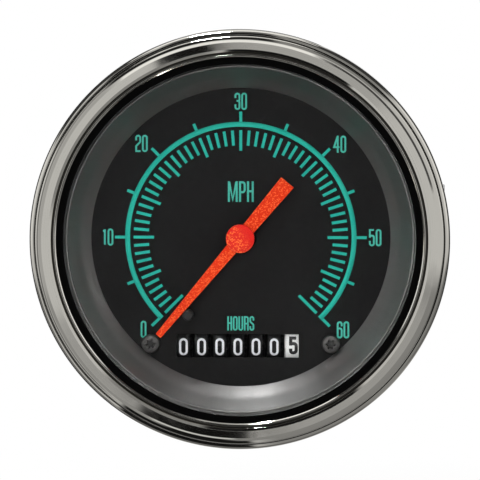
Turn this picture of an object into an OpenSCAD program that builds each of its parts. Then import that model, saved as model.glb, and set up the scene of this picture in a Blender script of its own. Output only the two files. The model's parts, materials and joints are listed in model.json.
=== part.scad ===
// Dashboard speedometer with an hour counter, dial facing -Y, +Z up the dial.
// The origin is the centre of the bezel's rear face, where the gauge seats on its panel.

/* [Case] */
// Outside diameter of the case barrel, which passes through the panel
barrel_d = 85.7; // [84.7:0.1:87]
// Thickness of the case's sheet steel
case_wall = 1.0; // [0.8:0.1:1.3]
// Depth of the case behind the panel
case_depth = 58.2; // [56:0.2:64]
// Radius of the bend round the back of the case
case_bend = 3; // [2:0.25:4]
// How far the front flange stands out from the barrel
flange_w = 2.7; // [2.3:0.1:2.9]
// Clearance round the loose pieces stacked in the case
stack_gap = 0.4; // [0.2:0.05:0.6]

/* [Bezel] */
// How far the bezel stands out beyond the barrel
bezel_overhang = 4.15; // [4.05:0.05:4.6]
// Thickness of the bezel's stainless sheet
bezel_t = 0.8; // [0.6:0.05:1]
// Radius of the roll at the rim
roll_r = 1.2; // [1.1:0.1:1.5]
// Width of the tread between the roll and the step
tread_w = 0.3; // [0.2:0.1:0.6]
// Radius of the rounded step
step_r = 1.2; // [0.8:0.1:1.3]
// Height of the flat band above the tread
step_h = 1.4; // [1.35:0.05:1.7]
// Width of the flat band
band_w = 1.6; // [1.2:0.1:1.8]
// Width of the bevel inside the band
bevel_w = 0.7; // [0.4:0.1:0.9]
// Drop of the bevel
bevel_h = 0.45; // [0.3:0.05:0.55]
// Width of the lip inside the bevel
lip_w = 0.9; // [0.7:0.1:1.1]
// Radius of the bead on the lip's edge
bead_r = 0.3; // [0.2:0.05:0.3]
// Gap between the bezel's rear lip and the barrel
crimp_gap = 0.3; // [0.2:0.05:0.5]

/* [Lens and seals] */
// Thickness of the glass
lens_t = 2.4; // [1.8:0.1:3]
// Gap round the edge of the glass
lens_gap = 0.3; // [0.2:0.05:0.5]
// Thickness of the seal in front of the glass
front_seal_t = 0.6; // [0.4:0.1:0.9]
// Width of that seal that shows inside the bezel's lip
seal_show = 1.7; // [1.2:0.1:2]
// Thickness of the seal behind the glass
rear_seal_t = 0.6; // [0.4:0.1:0.9]

/* [Reveal ring] */
// Depth of the ring from the glass down to the dial
reveal_depth = 7.4; // [6.6:0.1:8.4]
// Diameter of the dial that shows inside the ring
dial_view_d = 67.2; // [66:0.2:69]
// Wall of the cone
reveal_wall = 1.0; // [0.8:0.1:1.4]
// Radius of the rounded front edge
reveal_edge_r = 0.35; // [0.25:0.05:0.45]

/* [Dial] */
// Thickness of the dial plate
dial_t = 0.8; // [0.6:0.1:1.2]
// Thickness of the printed scale
ink_t = 0.08; // [0.05:0.01:0.12]
// Radius of the middle of the scale's arc
arc_r = 25.35; // [24.8:0.05:25.8]
// Width of the arc
arc_w = 1.1; // [0.8:0.1:1.4]
// Sweep of the scale in degrees
scale_sweep = 270; // [240:6:276]
// Top speed of the scale
scale_top = 60; // [60:60:120]
// Width of a scale mark
mark_w = 0.65; // [0.5:0.05:0.8]
// Inner end of the marks at every unit
mark_unit_r = 20.6; // [20:0.1:21.4]
// Inner end of the marks at every fifth unit
mark_five_r = 19.4; // [18.8:0.1:20.2]
// Inner end of the first and last marks
mark_end_r = 18.4; // [17.6:0.1:19]
// Outer end of the inner marks
mark_top_r = 24.0; // [23.6:0.1:24.4]
// Outer end of the marks at the fives
tick_five_r = 27.5; // [27:0.1:28]
// Outer end of the marks at the tens
tick_ten_r = 28.2; // [28:0.1:28.8]

/* [Pointer] */
// Length of the pointer from the spindle to its tip
tip_l = 28.7; // [26:0.1:29.4]
// Length of the tail
tail_l = 16.5; // [12:0.1:18]
// Width at the tip
tip_w = 1.45; // [1:0.05:2]
// Width at the tail
tail_w = 3.7; // [3:0.1:4.4]
// Thickness of the pointer
pointer_t = 0.6; // [0.4:0.1:0.8]
// Height of the pointer's underside over the dial
pointer_gap = 3.2; // [2.6:0.1:3.6]
// Radius of the hub cap
hub_r = 3.2; // [2.8:0.1:3.8]
// Height of the hub cap over the pointer
hub_h = 1.4; // [1:0.1:1.6]
// Degrees from the first mark back to the pointer at rest
rest_drop = 5; // [3:0.5:8]
// Distance from the pointer's tip back to the stop pin
stop_pin_in = 7.7; // [6:0.1:9]
// Radius of the stop pin
stop_pin_r = 1.2; // [0.8:0.1:1.4]
// Gap between the stop pin and the resting pointer
stop_gap = 0.05; // [0.03:0.01:0.1]
// Diameter of the spindle
spindle_d = 1.5; // [1.2:0.1:1.8]
// Radial clearance of every turning fit
run_gap = 0.05; // [0.03:0.01:0.08]

/* [Counter] */
// Diameter of a number drum
drum_d = 15.2; // [14.6:0.1:15.6]
// Width of a drum's rim
drum_w = 2.9; // [2.7:0.05:3]
// Distance from one drum to the next
drum_pitch = 4.09; // [4:0.01:4.2]
// Height of the drum axis on the dial
drum_y = -24.5; // [-24.9:0.1:-24.1]
// Sideways place of the middle drum
drum_x = -0.7; // [-1:0.1:-0.4]
// Gap between the drums and the dial plate
drum_gap = 0.5; // [0.4:0.1:0.8]
// Height of the window
window_h = 5.3; // [4.8:0.1:5.8]
// Gap between the window's ends and the drums
window_gap = 0; // [0:0.05:0.2]
// Diameter of the drum shaft
drum_shaft_d = 2; // [1.8:0.1:2.4]
// Diameter of the pinion shaft
pinion_shaft_d = 1.2; // [1:0.1:1.4]
// Module of the transfer teeth
transfer_m = 0.6; // [0.58:0.01:0.6]
// Module of the drive teeth
drive_m = 0.5; // [0.48:0.01:0.5]
// Width of the gear on a drum's side
drum_gear_w = 0.55; // [0.5:0.05:0.6]
// Width of the transfer disc on a drum's other side
transfer_w = 0.35; // [0.3:0.05:0.4]
// Side gap of a pinion between two drums
pinion_side_gap = 0.12; // [0.1:0.01:0.15]
// Width of the drive gear
drive_gear_w = 1.2; // [1:0.1:1.4]
// Thickness of the counter frame's sheet
frame_t = 1.0; // [0.8:0.1:1.2]
// Gap between the frame and the outermost drums
frame_gap = 1.0; // [0.8:0.1:1.2]
// Diameter of the counter's motor
motor_d = 9; // [8.4:0.1:9.2]
// Length of the motor
motor_l = 8; // [7:0.1:10]

/* [Chassis] */
// Distance from the dial plate back to the chassis plate
chassis_drop = 28.2; // [27.6:0.1:29]
// Thickness of the chassis plate
chassis_t = 1.2; // [1:0.1:1.6]
// Distance from the chassis plate back to the circuit board
board_drop = 6.2; // [5:0.1:7]
// Thickness of the circuit board
board_t = 1.6; // [1.2:0.1:1.8]
// Gap between the circuit board and the case
board_gap = 3.85; // [3:0.05:5]
// Gap between the capacitors on the board and the back of the case
capacitor_gap = 5.2; // [3:0.1:7]
// Diameter of the capacitors
capacitor_d = 6.2; // [5:0.1:7]
// Distance from the case's wall in to the middle of the support pillars
pillar_in = 7.85; // [7.35:0.05:8.85]
// Width of the pillars across their flats
pillar_af = 5; // [4.6:0.1:5.5]
// Diameter of the small machine screws
screw_d = 2.4; // [2:0.1:2.6]
// Diameter of their heads
screw_head_d = 4.2; // [4:0.1:4.6]
// Height of their heads
screw_head_h = 1.5; // [1.2:0.1:1.7]
// Clearance round a screw in its hole
screw_gap = 0.1; // [0.05:0.05:0.2]
// Degrees of each dial screw below the dial's middle
dial_screw_turn = 49.8; // [48:0.2:52]
// Gap between the dial screws' heads and the reveal ring
dial_screw_gap = 0.07; // [0.05:0.01:0.4]
// Diameter of the dial standoffs
standoff_d = 4.4; // [4:0.1:4.8]
// Wall of the light housing
light_wall = 1.2; // [1:0.1:1.6]

/* [Movement] */
// Outside diameter of the steel shield cup
cup_d = 26; // [25.4:0.1:26]
// Wall of the shield cup
cup_wall = 0.8; // [0.6:0.1:1]
// Width across the square bobbin
bobbin_w = 16.4; // [16:0.1:16.8]
// Length of the closed bobbin
bobbin_l = 14; // [13:0.1:15]
// Width of each winding
coil_w = 2.6; // [2.2:0.1:2.8]
// Depth of each winding
coil_t = 1.3; // [1:0.1:1.4]
// Gap between a winding and what it lies on
coil_gap = 0.05; // [0.03:0.01:0.1]
// Distance of a winding's middle from the spindle
coil_at = 3.4; // [3.2:0.1:3.6]
// Diameter of the magnet rotor
rotor_d = 14; // [12:0.1:14.2]
// Thickness of the magnet rotor
rotor_t = 6; // [5:0.1:6.5]
// Gap round the rotor in the bobbin
rotor_gap = 0.6; // [0.4:0.1:0.7]
// Outside diameter of the spindle bearings
bearing_d = 3.6; // [3.2:0.1:4]

/* [Rear] */
// Sideways distance of the bulbs from the axis
bulb_x = 20; // [19.6:0.1:20.4]
// Height of the bulbs on the gauge
bulb_y = 19; // [18.6:0.1:19.6]
// Diameter of a bulb's glass
bulb_d = 10; // [9:0.1:10.4]
// Diameter of a bulb holder's body
holder_d = 14.8; // [14:0.1:15.2]
// Length of a bulb holder inside the case
holder_l = 14; // [13:0.1:15]
// Number of blade terminals
blade_count = 4; // [3:1:4]
// Distance from one blade to the next
blade_pitch = 9; // [8.5:0.1:9.2]
// Width of a blade
blade_w = 6.3; // [4.8:0.1:6.4]
// Thickness of a blade
blade_t = 0.8; // [0.5:0.1:1]
// Length of a blade behind the case
blade_l = 10; // [8:0.5:12]
// Height of the terminal block's middle on the gauge
block_y = -24; // [-25:0.1:-23.5]
// Sideways distance of the studs from the axis
stud_x = 19; // [18:0.1:20]
// Diameter of the studs
stud_d = 4; // [3.6:0.1:5]
// Length of the studs behind the case
stud_l = 26; // [24:0.5:32]

/* [Clamp bracket] */
// Width of the bracket's strap
strap_w = 16; // [12:0.5:18]
// Thickness of the strap
strap_t = 1.6; // [1.2:0.1:1.8]
// Gap between the bracket's legs and the barrel
leg_gap = 1.4; // [1.1:0.1:1.6]
// Panel thickness at which the bracket stands
grip = 6; // [6:0.25:8]
// Thinnest panel that the bracket can clamp
grip_min = 1; // [0.8:0.1:2]
// Gap left behind the case at the thinnest panel
bridge_gap = 0.6; // [0.4:0.1:1]
// Width across the flats of the nuts
nut_af = 7; // [7:0.1:8]
// Height of the nuts
nut_h = 3.2; // [2.8:0.1:3.6]

/* [Hidden] */
$fn = 96;

// Radii of the case and bezel
barrel_r = barrel_d / 2;
bore_r = barrel_r - case_wall;
stack_r = bore_r - stack_gap;
flange_r = barrel_r + flange_w;
bezel_r = barrel_r + bezel_overhang;
cavity_r = bezel_r - roll_r - tread_w - step_r;
band_r = cavity_r - band_w;
lip_r = band_r - bevel_w - lip_w;
lens_r = cavity_r - lens_gap;
seal_r = lip_r - seal_show;
dial_view_r = dial_view_d / 2;

// Levels in front of the panel
flange_front = bezel_t + case_wall;
lens_back = flange_front + rear_seal_t;
lens_front = lens_back + lens_t;
lip_back = lens_front + front_seal_t;
band_z = lip_back + bezel_t;
tread_z = band_z - step_h;

// Levels from the dial backwards
dial_front = lens_back - reveal_depth;
dial_back = dial_front - dial_t;
chassis_front = dial_back - chassis_drop;
chassis_back = chassis_front - chassis_t;
board_front = chassis_back - board_drop;
board_back = board_front - board_t;
case_back = -case_depth;
case_floor = case_back + case_wall;

// Screws, shared by every screwed joint
screw_r = screw_d / 2;
screw_hole_r = screw_r + screw_gap;
screw_l = 6;
screw_end_gap = 1;
screw_depth = screw_l + screw_end_gap;
screw_head_r = screw_head_d / 2;
screw_edge_r = 0.3;
recess_r = screw_r;
recess_h = 0.8;
dial_screw_at = dial_view_r - screw_head_r - dial_screw_gap;
dial_screw_x = dial_screw_at * cos(dial_screw_turn);
dial_screw_y = -dial_screw_at * sin(dial_screw_turn);

// Length by which a cut runs past the face it opens
past = 1;

// Reveal ring
reveal_over = 0.5;
reveal_front_r = seal_r - 2 * reveal_edge_r + reveal_over;
reveal_slant = reveal_wall * 1.3;

// Scale
scale_start = 90 + scale_sweep / 2;
unit_step = scale_sweep / scale_top;
rest_angle = scale_start + rest_drop;

// Pointer
pointer_back = dial_front + pointer_gap;
pointer_front = pointer_back + pointer_t;
stem_r = 1.2;
collar_r = 2.2;
collar_h = 1.4;
collar_gap = 0.5;
hub_edge = 0.5;
stop_pin_at = tip_l - stop_pin_in;
spindle_r = spindle_d / 2;
spindle_grip = collar_h + pointer_t;
half_width_at_pin = (tip_w + (tail_w - tip_w) * (tip_l - stop_pin_at) / (tip_l + tail_l)) / 2;
stop_angle = rest_angle + asin((half_width_at_pin + stop_pin_r + stop_gap) / stop_pin_at);
stop_pin_over = 0.5;
pin_tail_r = 0.7;

// Movement
cup_floor = 1;
cup_r = cup_d / 2;
cup_lift = 0.6;
outer_coil_back = chassis_front + cup_floor + cup_lift;
inner_coil_back = outer_coil_back + coil_t + coil_gap;
bobbin_back = inner_coil_back + coil_t + coil_gap;
bobbin_mid = bobbin_back + bobbin_l / 2;
bobbin_front_z = bobbin_back + bobbin_l;
cup_front = bobbin_front_z + 2 * (coil_t + coil_gap) + cup_lift;
bobbin_corner_r = bobbin_w / 2 * 1.34;
foot_r = 1.7;
foot_gap = 0.2;
foot_at = coil_at + coil_w / 2 + foot_gap + foot_r;
foot_root = 0.6;
rotor_r = rotor_d / 2;
bearing_r = bearing_d / 2;
rotor_room = rotor_t / 2 + rotor_gap;
bearing_floor = 0.6;
end_play = 0.2;
spindle_back = bobbin_back + bearing_floor + end_play;
spindle_front = pointer_back - collar_h + spindle_grip;
return_magnet_w = 2.6;
return_magnet_t = 1.3;

// Teeth: pressure angle, heights above and below the pitch circle in modules, and side play
pressure = 25;
tooth_top = 0.75;
tooth_root = 1.05;
tooth_play = 0.05;

// Counter
drum_r = drum_d / 2;
drum_z = dial_back - drum_gap - drum_r;
drum_count = 7;
drum_rim = 0.9;
drum_web = 0.8;
drum_hub_r = 2.2;
drum_shaft_r = drum_shaft_d / 2;
pinion_shaft_r = pinion_shaft_d / 2;
drum_teeth = 20;
pinion_teeth = 8;
drive_teeth = 26;
idler_teeth = 18;
motor_teeth = 10;
space_w = drum_pitch - drum_w;
pinion_w = space_w - 2 * pinion_side_gap;
hub_play = 0.08;
transfer_gap = 0.25;
transfer_r = transfer_m * (drum_teeth / 2 - 1) - transfer_gap;
pinion_way = 240;
idler_way = 145;
motor_way = 225;
pinion_y = drum_y + transfer_m * (drum_teeth + pinion_teeth) / 2 * cos(pinion_way);
pinion_z = drum_z + transfer_m * (drum_teeth + pinion_teeth) / 2 * sin(pinion_way);
drum_left = drum_x - drum_pitch * (drum_count - 1) / 2 - drum_w / 2;
drum_right = drum_x + drum_pitch * (drum_count - 1) / 2 + drum_w / 2;
idler_y = drum_y + drive_m * (drive_teeth + idler_teeth) / 2 * sin(idler_way);
idler_z = drum_z + drive_m * (drive_teeth + idler_teeth) / 2 * cos(idler_way);
idler_angle = 90 - idler_way;
motor_y = idler_y + drive_m * (idler_teeth + motor_teeth) / 2 * cos(motor_way);
motor_z = idler_z + drive_m * (idler_teeth + motor_teeth) / 2 * sin(motor_way);
frame_left = drum_left - frame_gap;
frame_right = drum_right + drive_gear_w + frame_gap;
frame_w = frame_right - frame_left + 2 * frame_t;
frame_base_front = chassis_front + frame_t;
frame_low = pinion_y - transfer_m * (pinion_teeth / 2 + tooth_top);
frame_over_idler = 2.2;
frame_high = idler_y + frame_over_idler;
frame_over_shaft = 4.5;
frame_front = drum_z + frame_over_shaft;
frame_screw_rise = 4;
frame_screw_y = drum_y + frame_screw_rise;
frame_screw_x = 9;
tab_x = drum_right - drum_w / 2;
tab_gap = 0.9;
tab_front = drum_z - drum_r - tab_gap;
motor_r = motor_d / 2;
motor_back = tab_x - frame_t - motor_l;
motor_end = 1;
nose_r = 1.9;
motor_shaft_r = 0.6;
idler_shaft_r = 0.8;
gear_side_gap = 0.1;
drive_w = drive_gear_w - 2 * gear_side_gap;
drive_x = drum_right + 2 * gear_side_gap;

// Screws from behind the chassis plate: x, y and length of the shank
rear_screws = [
    for (side = [-1, 1]) each [
        [side * dial_screw_x, dial_screw_y, screw_l],
        [side * frame_screw_x, frame_screw_y, chassis_t + frame_t],
        [side * foot_at, side * foot_at, chassis_t + cup_floor + cup_lift + coil_t]
    ]
];

// Chassis, board and rear
pillar_angles = [90, 210, 330];
pillar_at = bore_r - pillar_in;
pillar_r = pillar_af / sqrt(3);
pillar_thread = 3.5;
pillar_hole_l = pillar_thread + 0.5;
spigot_r = 1.5;
spigot_in = 4;
spigot_back = board_back - spigot_in;
wire_slot_w = 16;
wire_slot_h = 8;
wire_slot_gap = 2;
wire_slot_y = cup_r + wire_slot_gap + wire_slot_h / 2;
board_r = bore_r - board_gap;
chip_x = 9;
chip_y = 2;
chip_w = 6;
chip_h = 10;
chip_t = 1.8;
capacitor_r = capacitor_d / 2;
capacitor_x = 10;
capacitor_y = -11.5;
capacitor_step = 8;
capacitor_back = case_floor + capacitor_gap;
bulb_hole_gap = 0.6;
bulb_seat = 6;
bulb_r = bulb_d / 2;
bulb_l = 17;
holder_r = holder_d / 2;
holder_front = case_back + holder_l;
holder_flange_r = holder_r + 1.8;
holder_flange_t = 2;
holder_grip_w = 4;
bulb_back = holder_front - bulb_seat;
bulb_front = holder_front + bulb_l;
blade_tail = 1;
blade_back = case_back - blade_l;
blade_nick = 1;
blade_hole_r = 0.9;
blade_hole_in = 3.4;
block_wall = 2.5;
block_w = blade_pitch * (blade_count - 1) + blade_w + 2 * block_wall;
block_h = 8;
block_flange = 1.5;
block_flange_t = 2;
block_in = 2;
stud_r = stud_d / 2;
stud_head_over = 2;
stud_head_r = stud_r + stud_head_over;
stud_head_t = 1.3;
trimmer_in = 10;
trimmer_y = pillar_at - trimmer_in;
trimmer_w = 6.6;
trimmer_h = 4.4;
trimmer_top = board_back - trimmer_h;
trimmer_rotor_r = 2;
trimmer_rotor_h = 1.2;
trimmer_rotor_out = 0.4;
trimmer_slot_w = 0.6;
trimmer_slot_h = 0.5;
access_r = 3;

// Clamp bracket
leg_in = barrel_r + leg_gap;
leg_out = leg_in + strap_t;
bridge_front = case_back - nut_h - bridge_gap - (grip - grip_min);
bridge_back = bridge_front - strap_t;
strap_bend = 2.4;
nut_r = nut_af / sqrt(3);
nut_flange_over = 1.2;
nut_flange_r = nut_af / 2 + nut_flange_over;
nut_flange_t = 0.8;

// Turns of the drive gears at which their teeth mesh
idler_turn = mesh_turn(drive_teeth, idler_angle, idler_teeth, idler_angle);
motor_turn = mesh_turn(idler_teeth, idler_turn, motor_teeth, motor_way);

// Points along an arc, from angle a0 to angle a1
function arc(cx, cy, r, a0, a1, n = 6) =
    [for (i = [0:n]) let (a = a0 + (a1 - a0) * i / n) [cx + r * cos(a), cy + r * sin(a)]];

// Outline of a rectangle with round corners, centred
function round_box(w, h, r) = [
    for (k = [0:3])
        let (sx = (k == 0 || k == 3) ? 1 : -1, sy = k < 2 ? 1 : -1)
        each arc(sx * (w / 2 - r), sy * (h / 2 - r), r, 90 * k, 90 * k + 90, 4)
];

// Point of an involute of base radius rb where its radius is r
function involute_turn(rb, r) = let (c = rb / r) sqrt(1 / (c * c) - 1) * 180 / PI - acos(c);

// Half the angle of a tooth of a gear of module m with n teeth, at radius r
function tooth_half(m, n, r) =
    let (
        rp = m * n / 2,
        rb = rp * cos(pressure),
        at_pitch = 90 / n - tooth_play / rp * 180 / PI
    )
    at_pitch + involute_turn(rb, rp) - involute_turn(rb, max(r, rb));

function polar(r, a) = [r * cos(a), r * sin(a)];

// Outline of a gear with a tooth centred on angle 0
function gear_outline(m, n) =
    let (
        rp = m * n / 2,
        rb = rp * cos(pressure),
        root = rp - tooth_root * m,
        top = rp + tooth_top * m,
        foot = max(rb, root)
    )
    [
        for (i = [0:n - 1])
            let (a = 360 / n * i)
            each [
                polar(root, a - tooth_half(m, n, foot)),
                polar(rp, a - tooth_half(m, n, rp)),
                polar(top, a - tooth_half(m, n, top)),
                polar(top, a + tooth_half(m, n, top)),
                polar(rp, a + tooth_half(m, n, rp)),
                polar(root, a + tooth_half(m, n, foot))
            ]
    ];

// Turn of a gear of n2 teeth that meshes in direction way with one of n1 teeth turned by turn_1
function mesh_turn(n1, turn_1, n2, way) = way + 180 - (n1 * (turn_1 - way) + 180) / n2;

// The gauge is drawn with its dial facing up, and this stands it up on edge
module stand() {
    rotate([90, 0, 0]) children();
}

// Puts a drawing made in a plane square to X at the height y and level z
module across(x, y, z) {
    translate([x, y, z]) rotate([90, 0, 90]) children();
}

module ring(r_out, r_in, z0, z1) {
    translate([0, 0, z0]) difference() {
        cylinder(r = r_out, h = z1 - z0);
        translate([0, 0, -past]) cylinder(r = r_in, h = z1 - z0 + 2 * past);
    }
}

module post(r, z0, z1) {
    translate([0, 0, z0]) cylinder(r = r, h = z1 - z0);
}

// Cut for a round hole through a plate between two levels
module hole(r, z0, z1) {
    post(r, z0 - past, z1 + past);
}

// Cut for a rectangular hole through a plate between two levels
module slot(w, h, z0, z1) {
    block(w, h, z0 - past, z1 + past);
}

// Rectangular block centred on the axis, between two levels
module block(w, h, z0, z1) {
    translate([0, 0, z0]) linear_extrude(z1 - z0) square([w, h], center = true);
}

module both_sides(x, y) {
    for (side = [-1, 1]) translate([side * x, y, 0]) children();
}

// Four places on the corners of a square, at a distance from the axis along X and Y
module square_corners(distance) {
    for (a = [45:90:315]) rotate(a) translate([distance * sqrt(2), 0, 0]) children();
}

module round_pillars() {
    for (a = pillar_angles) rotate(a) translate([pillar_at, 0, 0]) children();
}

// Button-head screw with a six-lobed recess, head up, under-head level at 0
module button_screw() {
    recess_z = screw_head_h - recess_h;
    difference() {
        union() {
            rotate_extrude() polygon(concat(
                [[0, 0], [screw_head_r, 0]],
                arc(screw_head_r - screw_edge_r, screw_edge_r, screw_edge_r, 0, 45, 2),
                arc(0, screw_head_h - 3 * screw_head_r, 3 * screw_head_r, 78, 90, 3)
            ));
            post(screw_r, -screw_l, 0);
        }
        for (a = [0:60:300]) rotate(a) translate([recess_r * 0.62, 0, 0])
            post(recess_r * 0.36, recess_z, screw_head_h + past, $fn = 24);
        post(recess_r * 0.7, recess_z, screw_head_h + past, $fn = 24);
    }
}

// Cheese-head screw with a hexagon socket, head up, under-head level at 0
module socket_screw(shank_l) {
    difference() {
        union() {
            post(screw_head_r, 0, screw_head_h);
            post(screw_r, -shank_l, 0);
        }
        post(recess_r, screw_head_h - recess_h, screw_head_h + past, $fn = 6);
    }
}

module bezel() {
    rim = bezel_r - roll_r;
    color("gainsboro") stand() rotate_extrude($fn = 180) polygon(concat(
        [[barrel_r + crimp_gap, 0]],
        arc(bezel_r - bezel_t, bezel_t, bezel_t, -90, 0, 4),
        arc(rim, tread_z - roll_r, roll_r, 0, 90),
        [[cavity_r + step_r, tread_z]],
        arc(cavity_r, band_z - step_r, step_r, 0, 90),
        [[band_r, band_z], [band_r - bevel_w, band_z - bevel_h]],
        arc(lip_r + bead_r, lip_back + bead_r, bead_r, 60, 180, 4),
        [[lip_r, lip_back], [cavity_r, lip_back], [cavity_r, tread_z - bezel_t]],
        arc(rim, tread_z - roll_r, roll_r - bezel_t, 90, 0, 3),
        [[bezel_r - bezel_t, bezel_t], [barrel_r + crimp_gap, bezel_t]]
    ));
}

module front_seal() {
    color("black") stand() ring(lens_r, seal_r, lens_front, lip_back);
}

module lens() {
    color("lightcyan", 0.3) stand() post(lens_r, lens_back, lens_front);
}

module rear_seal() {
    color("black") stand() ring(lens_r, bore_r, flange_front, lens_back);
}

module reveal_ring() {
    color("dimgray") stand() rotate_extrude($fn = 180) polygon(concat(
        [[dial_view_r, dial_front]],
        arc(reveal_front_r, lens_back - reveal_edge_r, reveal_edge_r, 180, 90, 4),
        [
            [stack_r, lens_back], [stack_r, lens_back - reveal_wall],
            [reveal_front_r + reveal_slant, lens_back - reveal_wall],
            [dial_view_r + reveal_slant, dial_front]
        ]
    ));
}

module case_outline() {
    inner_bend = max(case_bend - case_wall, 0.5);
    polygon(concat(
        [
            [bore_r, flange_front], [flange_r, flange_front],
            [flange_r, bezel_t], [barrel_r, bezel_t]
        ],
        arc(barrel_r - case_bend, case_back + case_bend, case_bend, 0, -90),
        [[0, case_back], [0, case_floor]],
        arc(bore_r - inner_bend, case_floor + inner_bend, inner_bend, -90, 0)
    ));
}

module gauge_case() {
    color("darkgray") stand() difference() {
        rotate_extrude($fn = 180) case_outline();
        both_sides(bulb_x, bulb_y) hole(holder_r + screw_gap, case_back, case_floor);
        both_sides(stud_x, 0) hole(stud_r + screw_gap, case_back, case_floor);
        translate([0, trimmer_y, 0]) hole(access_r, case_back, case_floor);
        round_pillars() hole(screw_hole_r, case_back, case_floor);
        translate([0, block_y, 0])
            slot(block_w + 2 * screw_gap, block_h + 2 * screw_gap, case_back, case_floor);
    }
}

module dial_plate() {
    window_w = drum_right - drum_left + 2 * window_gap;
    color([0.13, 0.13, 0.14]) stand() difference() {
        post(stack_r, dial_back, dial_front);
        hole(collar_r + collar_gap, dial_back, dial_front);
        both_sides(dial_screw_x, dial_screw_y) hole(screw_hole_r, dial_back, dial_front);
        rotate(stop_angle) translate([stop_pin_at, 0, 0]) hole(pin_tail_r, dial_back, dial_front);
        translate([drum_x, drum_y, 0]) slot(window_w, window_h, dial_back, dial_front);
    }
}

// One straight mark of the scale at a value, from radius r0 to radius r1
module scale_mark(value, r0, r1) {
    rotate(scale_start - value * unit_step)
        translate([r0, -mark_w / 2, dial_front]) cube([r1 - r0, mark_w, ink_t]);
}

module dial_scale() {
    arc_in = arc_r - arc_w / 2;
    half_mark = mark_w / 2 / arc_r * 180 / PI;
    color([0.09, 0.69, 0.6]) stand() {
        rotate(scale_start - scale_sweep - half_mark) rotate_extrude(angle = scale_sweep + 2 * half_mark)
            translate([arc_in, dial_front]) square([arc_w, ink_t]);
        for (v = [1:scale_top - 1])
            scale_mark(v, v % 5 == 0 ? mark_five_r : mark_unit_r, mark_top_r);
        for (v = [0, scale_top]) scale_mark(v, mark_end_r, mark_top_r);
        for (v = [5:10:scale_top]) scale_mark(v, arc_in + arc_w, tick_five_r);
        for (v = [0:10:scale_top]) scale_mark(v, arc_in + arc_w, tick_ten_r);
    }
}

module dial_screws() {
    color([0.3, 0.3, 0.31]) stand() both_sides(dial_screw_x, dial_screw_y)
        translate([0, 0, dial_front]) button_screw();
}

module stop_pin() {
    color([0.12, 0.12, 0.12]) stand() rotate(stop_angle) translate([stop_pin_at, 0, 0]) {
        post(stop_pin_r, dial_front, pointer_front + stop_pin_over);
        post(pin_tail_r, dial_back, dial_front);
    }
}

module light_housing() {
    color("whitesmoke") stand() ring(stack_r, stack_r - light_wall, chassis_front, dial_back);
}

module pointer() {
    color([0.94, 0.31, 0.16]) stand() rotate(rest_angle) difference() {
        translate([0, 0, pointer_back]) linear_extrude(pointer_t) polygon([
            [-tail_l, -tail_w / 2], [tip_l, -tip_w / 2], [tip_l, tip_w / 2], [-tail_l, tail_w / 2]
        ]);
        hole(stem_r, pointer_back, pointer_front);
    }
}

module pointer_hub() {
    cap_top = pointer_front + hub_h;
    color([0.9, 0.25, 0.14]) stand() rotate_extrude() polygon(concat(
        [
            [0, spindle_front], [spindle_r, spindle_front],
            [spindle_r, pointer_back - collar_h], [collar_r, pointer_back - collar_h],
            [collar_r, pointer_back], [stem_r, pointer_back], [stem_r, pointer_front],
            [hub_r, pointer_front]
        ],
        arc(hub_r - hub_edge, cap_top - hub_edge, hub_edge, 0, 90, 4),
        [[0, cap_top]]
    ));
}

module spindle() {
    color("silver") stand() post(spindle_r, spindle_back, spindle_front);
}

module magnet_rotor() {
    color([0.35, 0.33, 0.32]) stand()
        ring(rotor_r, spindle_r, bobbin_mid - rotor_t / 2, bobbin_mid + rotor_t / 2);
}

module spindle_bearings() {
    color("goldenrod") stand() {
        ring(bearing_r, spindle_r + run_gap, bobbin_mid + rotor_room, bobbin_front_z);
        post(bearing_r, bobbin_back, bobbin_back + bearing_floor);
        ring(bearing_r, spindle_r + run_gap, bobbin_back + bearing_floor, bobbin_mid - rotor_room);
    }
}

// Half of the bobbin between two levels, open towards the middle of the movement
module bobbin_half(z0, z1, room0, room1) {
    difference() {
        intersection() {
            block(bobbin_w, bobbin_w, z0, z1);
            post(bobbin_corner_r, z0, z1);
        }
        post(rotor_r + rotor_gap, room0, room1);
        hole(bearing_r, z0, z1);
    }
}

module bobbin_front() {
    color("white") stand()
        bobbin_half(bobbin_mid, bobbin_front_z, bobbin_mid - past, bobbin_mid + rotor_room);
}

module bobbin_rear() {
    color("white") stand() {
        bobbin_half(bobbin_back, bobbin_mid, bobbin_mid - rotor_room, bobbin_mid + past);
        square_corners(foot_at) difference() {
            post(foot_r, chassis_front + cup_floor, bobbin_back + foot_root);
            post(screw_r, chassis_front, bobbin_back - foot_root);
        }
    }
}

// Two windings side by side, each a rounded loop round the bobbin between two levels
module coil_pair(z0, z1) {
    inner_w = bobbin_w + 2 * coil_gap;
    inner_h = z1 - z0;
    for (side = [-1, 1]) translate([0, side * coil_at + coil_w / 2, (z0 + z1) / 2])
        rotate([90, 0, 0]) linear_extrude(coil_w) difference() {
            polygon(round_box(inner_w + 2 * coil_t, inner_h + 2 * coil_t, coil_t));
            square([inner_w, inner_h], center = true);
        }
}

module inner_coils() {
    color("peru") stand() coil_pair(bobbin_back - coil_gap, bobbin_front_z + coil_gap);
}

module outer_coils() {
    step = coil_t + 2 * coil_gap;
    color("sienna") stand() rotate(90) coil_pair(bobbin_back - step, bobbin_front_z + step);
}

module shield_cup() {
    color("lightgray") stand() difference() {
        post(cup_r, chassis_front, cup_front);
        post(cup_r - cup_wall, chassis_front + cup_floor, cup_front + past);
        square_corners(foot_at) hole(screw_hole_r, chassis_front, chassis_front + cup_floor);
    }
}

module return_magnet() {
    color([0.25, 0.25, 0.27]) stand() translate([foot_at, foot_at, 0])
        block(return_magnet_w, return_magnet_w, bobbin_front_z, bobbin_front_z + return_magnet_t);
}

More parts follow.
